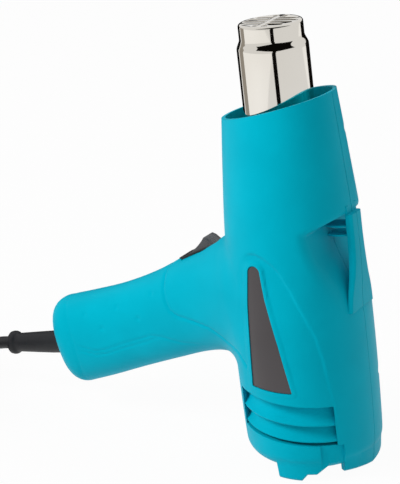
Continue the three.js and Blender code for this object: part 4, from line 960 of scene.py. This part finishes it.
def join_up(material, source, surface, name):
    """Link an output to an input of the shader."""
    material.node_tree.links.new(source, surface.inputs[name])


def ramp(material, factor, low, high, start=0.0, stop=1.0):
    """A colour that goes from low to high while a factor goes from start to stop."""
    node = add(material, "ValToRGB", Fac=factor)
    for end, place, colour in zip(node.color_ramp.elements, (start, stop), (low, high)):
        end.position, end.color = place, linear(colour)
    return node.outputs["Color"]


def per_mm(size):
    """The scale that gives a noise or cell pattern this size in millimetres."""
    return 1000 / size


DRIFT = (.3, .7)                    # the part of a noise over which a colour drifts

# %% Moulded finish


def grained(name, base, dark, rough, grain, depth, soft_edge=0, patch=24, **shader):
    """A moulded finish: a fine cast grain, a slow drift of colour and shine, softened edges."""
    material, coords, surface = new_finish(name, **shader)
    drift = add(material, "TexNoise", Vector=coords, Scale=per_mm(patch), Detail=2.0)
    join_up(material, ramp(material, drift.outputs["Fac"], dark, base, *DRIFT), surface, "Base Color")
    fine = add(material, "TexNoise", Vector=coords, Scale=per_mm(grain), Detail=3.0, Roughness=.6)
    shine = add(material, "MapRange", Value=fine.outputs["Fac"], To_Min=rough - .05, To_Max=rough + .06)
    join_up(material, shine.outputs[0], surface, "Roughness")
    bump = add(material, "Bump", Height=fine.outputs["Fac"], Strength=.35, Distance=depth * MM)
    if soft_edge:
        edge = add(material, "Bevel", {"samples": 6}, Radius=soft_edge * MM)
        material.node_tree.links.new(edge.outputs[0], bump.inputs["Normal"])
    join_up(material, bump.outputs[0], surface, "Normal")
    return material


print("teal in linear numbers:", [round(v, 3) for v in linear("#00B2CA")])

# %% [markdown]
# ## The moulded plastic
# The housing is glass-filled polyamide, dyed through and spark-grained: it looks satin, with a
# soft wide highlight, a very fine grain, and edges that the mould rounds by half a millimetre.
# The edge comes from the shader's Bevel node, because the cuts have thousands of short edges.

# %% Finish, body and slot


def finished(piece, finish, body="body", stands_for=()):
    """Give a piece its finish and its body, and hide the solids that it stands for."""
    piece.data.materials.clear()
    piece.data.materials.append(finish)
    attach(piece, body)
    if stands_for:
        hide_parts(*stands_for)
    return piece


# %% Housing finish
polyamide = grained("spark_grained_polyamide_teal", "#00B2CA", "#00ACC4", .5, .7, .03, .55,
                    IOR=1.35, Specular_IOR_Level=.3, Specular_Tint=linear("#3CD8F0"))
for half, node in zip(housings, ("housing_left", "housing_right")):
    finished(half, polyamide, stands_for=[node])
print("housing finish:", polyamide.name)

# %% [markdown]
# ## The plates
# On each side a thin dark plate follows the barrel's curve inside its rim. The real one is a
# printed film under a satin lacquer. It stays bare here. Its outline is extruded across the
# barrel and trimmed between two skins, so that it has the same curve as the housing.

# %% Side plates
lacquer = grained("satin_lacquered_film", "#403B3D", "#363133", .38, 1.1, .012, .25, patch=60,
                  Specular_IOR_Level=.5, Coat_Weight=.25, Coat_Roughness=.2)
outer = barrel("plate_outer", .55, RIM_LOW, MOUTH_TOP, step=3)
boolean(outer, barrel("plate_inner", 1.1, RIM_LOW - 2, MOUTH_TOP + 4, step=3))
LABEL_MIDDLE, LABEL_ROOM = Vector((-3, 75)), .35
drawn_in = [tuple(Vector(p) + (LABEL_MIDDLE - Vector(p)).normalized() * LABEL_ROOM) for p in LABEL]
inset_label = rounded(drawn_in, LABEL_CORNERS)
for side, node in ((-1, "label_left"), (1, "label_right")):
    near, far = sorted((side * REACH, side * VENT_Y))
    film = plate(node + "_film", inset_label, near, far)
    boolean(film, outer, "INTERSECT", keep=True)
    smooth(settle(film, tool_frame))
    finished(film, lacquer, stands_for=[node])
    tell(film)
bpy.data.objects.remove(outer)

# %% [markdown]
# ## The blow tube
# The tube is deep-drawn from steel and chromium-plated, then polished: a mirror with a faint
# warm cast. It is a turned profile with a soft shoulder and a rounded front edge. The slotted
# front is cut with a row of long rounded bars, each built on its own.

# %% Rounded edges


def bevelled(piece, width, segments=3, angle=30):
    """Round all edges that are sharper than an angle, by a width in mm."""
    alone(piece)
    soft = piece.modifiers.new("bevel", "BEVEL")
    soft.width, soft.segments = width * MM, segments
    soft.limit_method, soft.angle_limit = "ANGLE", math.radians(angle)
    bpy.ops.object.modifier_apply(modifier=soft.name)
    return piece


# %% Blow tube
TUBE = {"tip": 17, "wide": 18.8, "wall": .9, "top": 238, "shoulder": 229.2, "foot": 225.6}
t = TUBE
drop = t["shoulder"] - t["foot"]
outer_line = [(24, 141.2), (24, 142.4), (t["wide"], 142.4), (t["wide"], t["foot"] - 1.2)]
for k in range(1, 13):
    f = k / 12
    s = f * f * (3 - 2 * f)
    outer_line.append((t["wide"] + (t["tip"] - t["wide"]) * s, t["foot"] - 1.2 + (drop + 2) * f))
edge = [(t["tip"] - 1.5 * (1 - math.cos(a)), t["top"] - .08 - 1.5 * (1 - math.sin(a)))
        for a in np.linspace(0, math.pi / 2, 9)]
inner_line = [(0, t["top"] - .08), (0, 237.1), (15, 237.1), (16.1, 236), (16.1, 228.9), (17.9, 225.2),
              (17.9, 141.2)]
tube = turned("blow_tube", outer_line + edge + inner_line, steps=128)
SLOTS = {"rows": 6, "pitch": 4.9, "half": 1.35, "within": 14.2, "bar": 1.5, "corner": .9}
for row in range(SLOTS["rows"]):
    y, half = (row - (SLOTS["rows"] - 1) / 2) * SLOTS["pitch"], SLOTS["half"]
    end = math.sqrt(SLOTS["within"] ** 2 - (abs(y) + half) ** 2)
    for near, far in ((-end, -SLOTS["bar"]), (SLOTS["bar"], end)):
        slot = rounded([(near, y - half), (far, y - half), (far, y + half), (near, y + half)],
                       SLOTS["corner"], 5)
        boolean(tube, slab("slot", slot, t["top"] - 4, t["top"] + 2))
settle(tube, tool_frame)
smooth(bevelled(tube, .18, 2, 50), 35)
tell(tube)

# %% [markdown]
# Polished chromium has almost no grain. What the eye reads as metal is a sharp mirror image
# that wavers slightly, because the drawn wall is not perfectly true, and a faint straw tint.

# %% Chromium finish
chrome, coords, surface = new_finish("polished_chromium_plate", Metallic=1.0)
drift = add(chrome, "TexNoise", Vector=coords, Scale=per_mm(30), Detail=1.0)
join_up(chrome, ramp(chrome, drift.outputs["Fac"], "#E2DDD3", "#EFEBE4"), surface, "Base Color")
smear = add(chrome, "TexNoise", Vector=coords, Scale=per_mm(5), Detail=3.0)
shine = add(chrome, "MapRange", Value=smear.outputs["Fac"], To_Min=.03, To_Max=.07)
join_up(chrome, shine.outputs[0], surface, "Roughness")
wave = add(chrome, "Bump", Height=drift.outputs["Fac"], Strength=.3, Distance=.05 * MM)
join_up(chrome, wave.outputs[0], surface, "Normal")
finished(tube, chrome, stands_for=["nozzle_tube"])
print("tube finish:", chrome.name)

# %% [markdown]
# ## The switch
# A rocker switch snaps into the top of the handle. Its housing is one moulding: a bezel with
# rounded corners round a well, three blade terminals below, and the pin that carries the key.
# Blocks with rounded corners are joined and cut for it, as the mould's own cores do.

# %% Switch housing
case = bevelled(block("switch_housing", 13.8, 7.6, 0, .8, 2), .35)
boolean(case, block("tub", 12.7, 6.5, -19, .6, .8), "UNION")
for x in (-7, 0, 7):
    boolean(case, block("tab", 2.4, .4, -26, -18, .1, x), "UNION")
boolean(case, block("well", 11.9, 5.7, -13, 3, .6))
boolean(case, rod("pin", 0, -3.2, 1.2, -6.1, 6.1, 20), "UNION")
smooth(settle(case, switch_frame))
# plain black nylon off an eroded mould: a dull sheen and hardly any grain
nylon = grained("moulded_nylon_black", "#242527", "#1C1D1F", .42, .8, .02, .2)
finished(case, nylon, stands_for=["switch_body"])
tell(case)

# %% [markdown]
# The key has a long hollow facet that rises to a crest, so that a finger finds it unseen. Its
# side view is drawn first, with the facet as one curve through three points, then extruded
# across, bevelled, and given a hub that turns on the pin.

# %% Rocker key
facet = [(-10.69, .6), (-1.6, 1.4), (5, 6.3)]
low_end, bend, crest = (Vector(p) for p in facet)
hollow_line = [tuple((1 - f)**2 * low_end + 2 * f * (1 - f) * bend + f * f * crest)
               for f in np.linspace(1, 0, 13)]
key_outline = [(-10.6, -3.8), (10.6, -3.8), (11.25, -.4), (8.8, 1.3), (6.9, 4.6)]
key_outline += hollow_line + [(-11.25, -.4)]
key = bevelled(plate("rocker_key", key_outline, -5.4, 5.4), .55, 3, 28)
boolean(key, plate("key_hub", [(-3, -6.2), (3, -6.2), (4.6, -2), (-4.6, -2)], -4.4, 4.4), "UNION")
boolean(key, rod("key_bore", 0, -3.2, 1.29, -8, 8, 24))
smooth(settle(key, switch_frame))
# acetal comes off a polished mould smooth, so it is the glossiest plastic here
acetal = grained("polished_acetal_charcoal", "#46474A", "#3B3C3F", .27, 1.2, .01, .2,
                 Specular_IOR_Level=.6)
finished(key, acetal, "rocker", stands_for=["rocker"])
tell(key)

# %% [markdown]
# ## Relief and cord
# The relief is a soft rubber sleeve that tapers to a collar, so that the cord never bends
# sharply where it leaves the handle. It is turned in one piece. The cord runs through it.

# %% Cord relief
sleeve_line = [(3.8, -15.2), (9, -15.2), (9, -12.8), (6.3, -12.8), (6.3, 2), (5.9, 12), (5.45, 22),
               (5.3, 25.4), (5.6, 25.9), (6.3, 26.3), (6.65, 27.2), (6.68, 28.4), (6.4, 29.6),
               (5.7, 30.3), (4.7, 30.9), (4.1, 31), (4.1, 29.8), (3.8, 29.8)]
sleeve = turned("cord_sleeve", sleeve_line, steps=64)
smooth(settle(sleeve, relief_frame @ Matrix.Rotation(math.pi / 2, 4, "Y")), 40)
rubber = grained("moulded_rubber_black", "#26272A", "#1E1F22", .5, .6, .03, .2, Specular_IOR_Level=.35)
finished(sleeve, rubber, stands_for=["cord_relief"])
tell(sleeve)

# %% [markdown]
# The sheath of the cord is PVC, extruded over the cores: matt, black, with a faint waviness
# along it from the twisted cores inside.

# %% Cord
sheath = grained("extruded_pvc_sheath_black", "#202124", "#191A1C", .48, 1.5, .05, patch=14)
cord.data.materials.append(sheath)

relief_in_handle = handle_frame.inverted() @ relief_frame
lead_in = [relief_in_handle @ Vector((d * MM, 0, 0)) / MM for d in (30.9, 15.5, 0, -9)]
lead_in = [tuple(p) for p in lead_in] + [(22, 0, -5), (44.6, 0, -4)]
alone(lead_along("inner_cord_lead", [p * MM for p in through(lead_in)], CORD_RADIUS - .1))
bpy.ops.object.convert(target="MESH")
inner_lead = smooth(settle(bpy.context.object, handle_frame), 40)
finished(inner_lead, sheath, stands_for=["inner_cord"])
tell(inner_lead)

# %% [markdown]
# ## Tie and plug
# A hook-and-loop tie holds the coil. It is a closed band with rounded corners, cut from one
# block, with the thickness of its free end laid on top.

# %% Cord tie
tie_outline = [(27.46, .8), (52.54, .8), (52.54, 31.2), (27.46, 31.2)]
grown = [(26.66, 0), (53.34, 0), (53.34, 32), (26.66, 32)]
band_piece = plate("hook_and_loop_tie", rounded(grown, 5.2, 6), -6, 6)
boolean(band_piece, plate("tie_room", rounded(tie_outline, 4.4, 6), -9, 9))
free_end = rounded([(33, 31.6), (47.5, 31.6), (47.5, 32.8), (33, 32.8)], .5)
boolean(band_piece, plate("tie_end", free_end, -6, 6), "UNION")
coil_middle = Matrix.Translation((COIL["x"] * MM, COIL["y"] * MM, 0))
tie_place = cord_frame @ coil_middle @ Matrix.Rotation(math.radians(35), 4, "Z")
smooth(settle(band_piece, tie_place))
# woven nylon with a looped face: dull, with painted shade in the tiny pits between the loops
fabric, coords, surface = new_finish("hook_and_loop_fabric_black", Roughness=.85, Sheen_Weight=.3)
loops = add(fabric, "TexVoronoi", Vector=coords, Scale=per_mm(.8))
# the ramp darkens each loop cell towards its edge: painted shade between the loops
join_up(fabric, ramp(fabric, loops.outputs["Distance"], "#35363A", "#17181A"), surface, "Base Color")
fuzz = add(fabric, "Bump", Height=loops.outputs["Distance"], Strength=.6, Distance=.25 * MM)
join_up(fabric, fuzz.outputs[0], surface, "Normal")
finished(band_piece, fabric, stands_for=["cord_tie"])
tell(band_piece)

# %% [markdown]
# The plug is a moulded two-pin contour plug: a skin over sections that widen from the cord and
# grow squarer, with finger ribs from a sine. Its pins are turned, with domed ends.

# %% Plug
PLUG = np.array([[0, 4.6, 4.6], [14, 5.2, 5.2], [18, 7, 6.8], [32, 12.6, 10.6], [43, 17.6, 12.8],
                 [54, 18, 13], [57, 16.8, 11.8]])
PLUG_WIDEST = 17.9
plug_place = cord_frame @ Matrix.Translation((-271.7 * MM, -79.3 * MM, 44.3 * MM))
rings = []
for x in [0, .25, .8] + list(np.arange(2, 54, 1.5)) + [54, 55.2, 56.2, 56.8, 57]:
    wide, high = at(PLUG, x, 1, 2)
    wide = min(wide, PLUG_WIDEST)
    end = max(.8 - x, 0) * .7 + max(x - 55, 0) ** 2 * .3
    rib = .45 * max(math.sin(math.pi * (x - 20) / 3), 0) if 20 < x < 38 else 0
    power = 2 / (2 + min(x, 40) / 40)
    ring = []
    for a in np.linspace(0, 2 * math.pi, 48, endpoint=False):
        c, s = math.cos(a), math.sin(a)
        ring.append(Vector((x, (wide - end - rib) * math.copysign(abs(c) ** power, c),
                            (high - end - rib * .4) * math.copysign(abs(s) ** power, s))) * MM)
    rings.append(ring)
plug = skin_through("contour_plug", rings)
pin_line = [(0, 51), (2.4, 51), (2.4, 74.4), (2.3, 75.2), (1.9, 75.8), (1.2, 76), (0, 76)]
turned_over = Matrix.Rotation(math.pi / 2, 4, "Y")
pins = []
for number, side in ((1, -1), (2, 1)):
    at_side = Matrix.Translation((0, side * 9.5 * MM, 0)) @ turned_over
    hole = settle(turned("pin_hole", [(0, 50.7), (2.7, 50.7), (2.7, 60), (0, 60)], steps=32), at_side)
    boolean(plug, hole)
    pin = settle(turned(f"plug_contact_{number}", pin_line, steps=40), plug_place @ at_side)
    pins.append(smooth(pin))
smooth(settle(plug, plug_place), 40)
finished(plug, rubber, stands_for=["plug"])
tell(plug)

# %% [markdown]
# ## Metals
# One function serves the metals. Turned, rolled and drawn parts all show fine lines and slight
# stains, so the colour drifts, the shine varies, and a fine noise gives the lines.

# %% Metal finishes


def metal(name, base, dark, rough, grain=.4, depth=.01, stretch=(1, 1, 1), soft_edge=.15):
    """Bare metal: a drift of colour, and fine lines whose noise may be stretched along an axis."""
    material, coords, surface = new_finish(name, Metallic=1.0)
    drift = add(material, "TexNoise", Vector=coords, Scale=per_mm(9), Detail=3.0)
    join_up(material, ramp(material, drift.outputs["Fac"], dark, base, *DRIFT), surface, "Base Color")
    stretched = add(material, "Mapping", Vector=coords, Scale=Vector(stretch))
    lines = add(material, "TexNoise", Vector=stretched.outputs[0], Scale=per_mm(grain), Detail=3.0)
    shine = add(material, "MapRange", Value=lines.outputs["Fac"], To_Min=rough - .06, To_Max=rough + .08)
    join_up(material, shine.outputs[0], surface, "Roughness")
    bump = add(material, "Bump", Height=lines.outputs["Fac"], Strength=.4, Distance=depth * MM)
    edge = add(material, "Bevel", {"samples": 4}, Radius=soft_edge * MM)
    material.node_tree.links.new(edge.outputs[0], bump.inputs["Normal"])
    join_up(material, bump.outputs[0], surface, "Normal")
    return material


zinc = metal("zinc_plated_steel", "#C3C5C6", "#A9ACAE", .3)
brass = metal("turned_brass", "#CDB06A", "#B79A55", .24, stretch=(6, 1, 1))
for pin, node in zip(pins, ("plug_pin_1", "plug_pin_2")):
    finished(pin, brass, stands_for=[node])
print("metals:", zinc.name, brass.name)

# %% [markdown]
# ## Screws
# Seven pan-head screws close the housing from its far side. One is turned, its cross recess is
# cut with two tapered bars, and copies of it go to the other wells.

# %% Housing screws
s = SCREW
under = s["seat"] + .3
screw_line = [(0, s["tip"]), (.9, s["tip"]), (s["shank"], s["tip"] + 2.4), (s["shank"], under),
              (s["head"], under), (s["head"], under + 1), (s["head"] - .35, under + 1.6),
              (s["head"] - 1.1, under + 2.05), (1.6, under + s["high"]), (0, under + s["high"])]
master = turned("screw_master", screw_line, steps=40)
for half_x, half_y in ((1.75, .42), (.42, 1.75)):
    corners = ((-1, -1), (1, -1), (1, 1), (-1, 1))
    low = [Vector((a * half_x * .45, b * half_y * .7, under + .8)) * MM for a, b in corners]
    high = [Vector((a * half_x, b * half_y, under + 3)) * MM for a, b in corners]
    boolean(master, skin_through("cross", [low, high]))
smooth(master, 35)
for number, (x, z) in enumerate(SCREWS, 1):
    screw = copy_of(master, f"pan_head_screw_{number}")
    upright = Matrix.Translation((x * MM, 0, z * MM)) @ Matrix.Rotation(-math.pi / 2, 4, "X")
    settle(screw, tool_frame @ upright)
    finished(screw, zinc, stands_for=[f"housing_screw_{number}"])
bpy.data.objects.remove(master)
print("screws:", len(SCREWS))

# %% [markdown]
# ## Finishes of the inner parts
# The parts inside keep their solids. Each gets the finish of what it is made of: mica board
# with its flakes, cordierite ceramic, oxidised heating wire, sintered magnets, varnished
# laminations, copper, carbon, a glass-epoxy board, and phenolic or nylon mouldings.

# %% Inner finishes
mica, coords, surface = new_finish("bonded_mica_board", Roughness=.45)
flakes = add(mica, "TexVoronoi", Vector=coords, Scale=per_mm(3.2))
join_up(mica, ramp(mica, flakes.outputs["Color"], "#A99A78", "#CDBF9C"), surface, "Base Color")
layers = add(mica, "Bump", Height=flakes.outputs["Distance"], Strength=.4, Distance=.1 * MM)
join_up(mica, layers.outputs[0], surface, "Normal")

inner_finishes = {
    "mica": (mica, ["mica_sleeve", "heater_base"]),
    "ceramic": (grained("fired_cordierite", "#E6DFD0", "#D6CDBB", .78, .5, .08, .2, patch=12),
                ["heater_core", "thermal_cutoff", "terminal_block"]),
    "resistance_wire": (metal("oxidised_heating_wire", "#8C8780", "#6E675F", .45), ["heater_winding"]),
    "inner_moulding": (grained("moulded_polyamide_grey", "#6A6C70", "#5E6064", .5, .8, .03, .3),
                       ["air_duct"]),
    "black_plastic": (grained("moulded_phenolic_black", "#26272A", "#1E1F21", .5, .9, .03, .25),
                      ["motor_end_bell", "fan_wheel", "clamp_bar"]),
    "motor_steel": (metal("drawn_nickel_plated_steel", "#B9BABA", "#A2A4A6", .28, stretch=(1, 1, .1)),
                    ["motor_can", "motor_shaft"]),
    "magnet": (grained("sintered_ferrite", "#3A3B3D", "#2E2F31", .6, .35, .05, .2),
               ["magnet_1", "magnet_2"]),
    "bronze": (metal("sintered_bronze", "#A97F4E", "#8F6A3F", .42, grain=.25),
               ["rear_bearing", "front_bearing"]),
    "lamination": (metal("varnished_lamination_steel", "#8A8076", "#756A60", .4, grain=.5,
                         stretch=(.1, .1, 2)), ["armature"]),
    "copper": (metal("turned_copper", "#C4804E", "#A9683C", .25, stretch=(.2, .2, 3)), ["commutator"]),
    "carbon": (grained("pressed_carbon", "#2B2B2C", "#202021", .62, .3, .04, .15),
               ["carbon_brush_1", "carbon_brush_2"]),
    "board": (grained("glass_epoxy_board", "#33704A", "#2A6040", .4, .5, .02, .1, Coat_Weight=.3),
              ["rectifier_board"]),
    "screw_steel": (zinc, ["clamp_screw_1", "clamp_screw_2"]),
}
for finish, names in inner_finishes.values():
    for name in names:
        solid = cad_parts[name]
        solid.data.materials.clear()
        solid.data.materials.append(finish)
print("inner finishes:", len(inner_finishes))

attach(cord, "body")
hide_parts("power_cord", "cord_coil", "cord_tail")

# %% [markdown]
# ## Floor, background and light
# The floor and the world are bright to the camera and to mirrors, and otherwise dim, so that
# the white does not wash out the shape. One large soft lamp from the left front does most of
# the work, a second opens the shadows on the right, and a third lights the rear edge. Mirrors
# don't see the lamps, which would show as round blobs on the blow tube.

# %% Floor
bpy.ops.object.select_all(action="DESELECT")
bpy.ops.mesh.primitive_plane_add(size=6)
floor = bpy.context.object
floor.name = "studio_floor"
paper = bare_material("white_paper_floor")
seen_by = add(paper, "LightPath")
direct = add(paper, "Math", {"operation": "MAXIMUM"}, in0=seen_by.outputs["Is Camera Ray"],
             in1=seen_by.outputs["Is Glossy Ray"])
matt = add(paper, "BsdfDiffuse", Color=linear("#DCDCDC"))
glow = add(paper, "Emission", Color=(1, 1, 1, 1), Strength=1.0)
amount = add(paper, "Math", {"operation": "MULTIPLY_ADD"}, in0=direct.outputs[0], in1=.73, in2=.23)
seen = add(paper, "MixShader", in0=amount.outputs[0], in1=matt.outputs[0], in2=glow.outputs[0])
add(paper, "OutputMaterial", Surface=seen.outputs[0])
floor.data.materials.append(paper)

# %% World
world = bpy.data.worlds.new("studio")
world.use_nodes = True
scene.world = world
world.node_tree.nodes.clear()
path = add(world, "LightPath")
either = add(world, "Math", {"operation": "MAXIMUM"}, in0=path.outputs["Is Camera Ray"],
             in1=path.outputs["Is Glossy Ray"])
any_of = add(world, "Math", {"operation": "MAXIMUM"}, in0=either.outputs[0],
             in1=path.outputs["Is Transmission Ray"])
level = add(world, "MapRange", Value=any_of.outputs[0], To_Min=.5, To_Max=1)
sky = add(world, "Background", Strength=level.outputs[0])
add(world, "OutputWorld", Surface=sky.outputs[0])

# %% Lamps


def lamp(name, place, target, size, watts):
    """A round soft lamp, turned to its target, that mirrors don't see."""
    light = bpy.data.lights.new(name, "AREA")
    light.shape, light.size, light.energy = "DISK", size, watts
    holder = bpy.data.objects.new(name, light)
    holder.location = place
    holder.rotation_euler = (Vector(target) - Vector(place)).to_track_quat("-Z", "Y").to_euler()
    holder.visible_glossy = False
    scene.collection.objects.link(holder)
    return holder


lamp("key", (-.95, -1.1, 1.15), (0, 0, .12), .8, 22)
lamp("fill", (.9, -1.2, .7), (0, 0, .1), .9, 1.5)
lamp("rim", (.3, 1.3, 1.2), (0, 0, .1), .8, 5)
print("lamps: key, fill, rim")

# %% [markdown]
# ## Black cards
# A mirror needs something dark to show its shape. Studios hang black cards round polished
# metal for that. These are seen only in reflections. The tube mirrors what lies a little below
# it, so the cards stand close by. A narrow one in front draws the line down the middle of the
# tube, two black ones and a grey one behind draw its edges, and a wide diamond that hangs high
# in front draws the dark star on its shoulder.

# %% Cards for the tube


def card_finish(name, colour):
    """A card that shows one even colour in a mirror."""
    material = bare_material(name)
    even = add(material, "Emission", Color=linear(colour), Strength=1.0)
    add(material, "OutputMaterial", Surface=even.outputs[0])
    return material


black_card = card_finish("black_velvet_card", "#0C0A08")
grey_card = card_finish("grey_card", "#9A948C")


def card(name, azimuth, distance, wide, low, high, finish=black_card, diamond=False):
    """A sheet round the tube, at an azimuth from the camera, from its low to its high edge."""
    a = AZIMUTH + math.radians(azimuth)
    toward = Vector((math.sin(a), -math.cos(a), 0))
    bpy.ops.object.select_all(action="DESELECT")
    bpy.ops.mesh.primitive_circle_add(vertices=4, radius=.5 if diamond else .5 ** .5, fill_type="NGON",
                                      rotation=(0, 0, 0 if diamond else math.pi / 4))
    bpy.ops.object.transform_apply(location=False, rotation=True, scale=False)
    sheet = bpy.context.object
    sheet.name = name
    sheet.scale = (wide, high - low, 1)
    sheet.rotation_euler = toward.to_track_quat("Z", "Y").to_euler()
    sheet.location = Vector((.052, 0, (low + high) / 2)) + toward * distance
    sheet.data.materials.append(finish)
    sheet.visible_camera = sheet.visible_diffuse = sheet.visible_shadow = False
    sheet.visible_transmission = sheet.visible_volume_scatter = False
    return sheet


card("card_middle", 1, .5, .105, .01, .62)
card("card_above", 6, 1.1, 6.4, .6, 2.9, diamond=True)
card("card_back_left", -158, .5, .36, .01, .3)
card("card_side_left", -121, .52, .22, .01, .3, grey_card)
card("card_back_right", 152, .5, .52, .01, .3)
print("cards: 5")
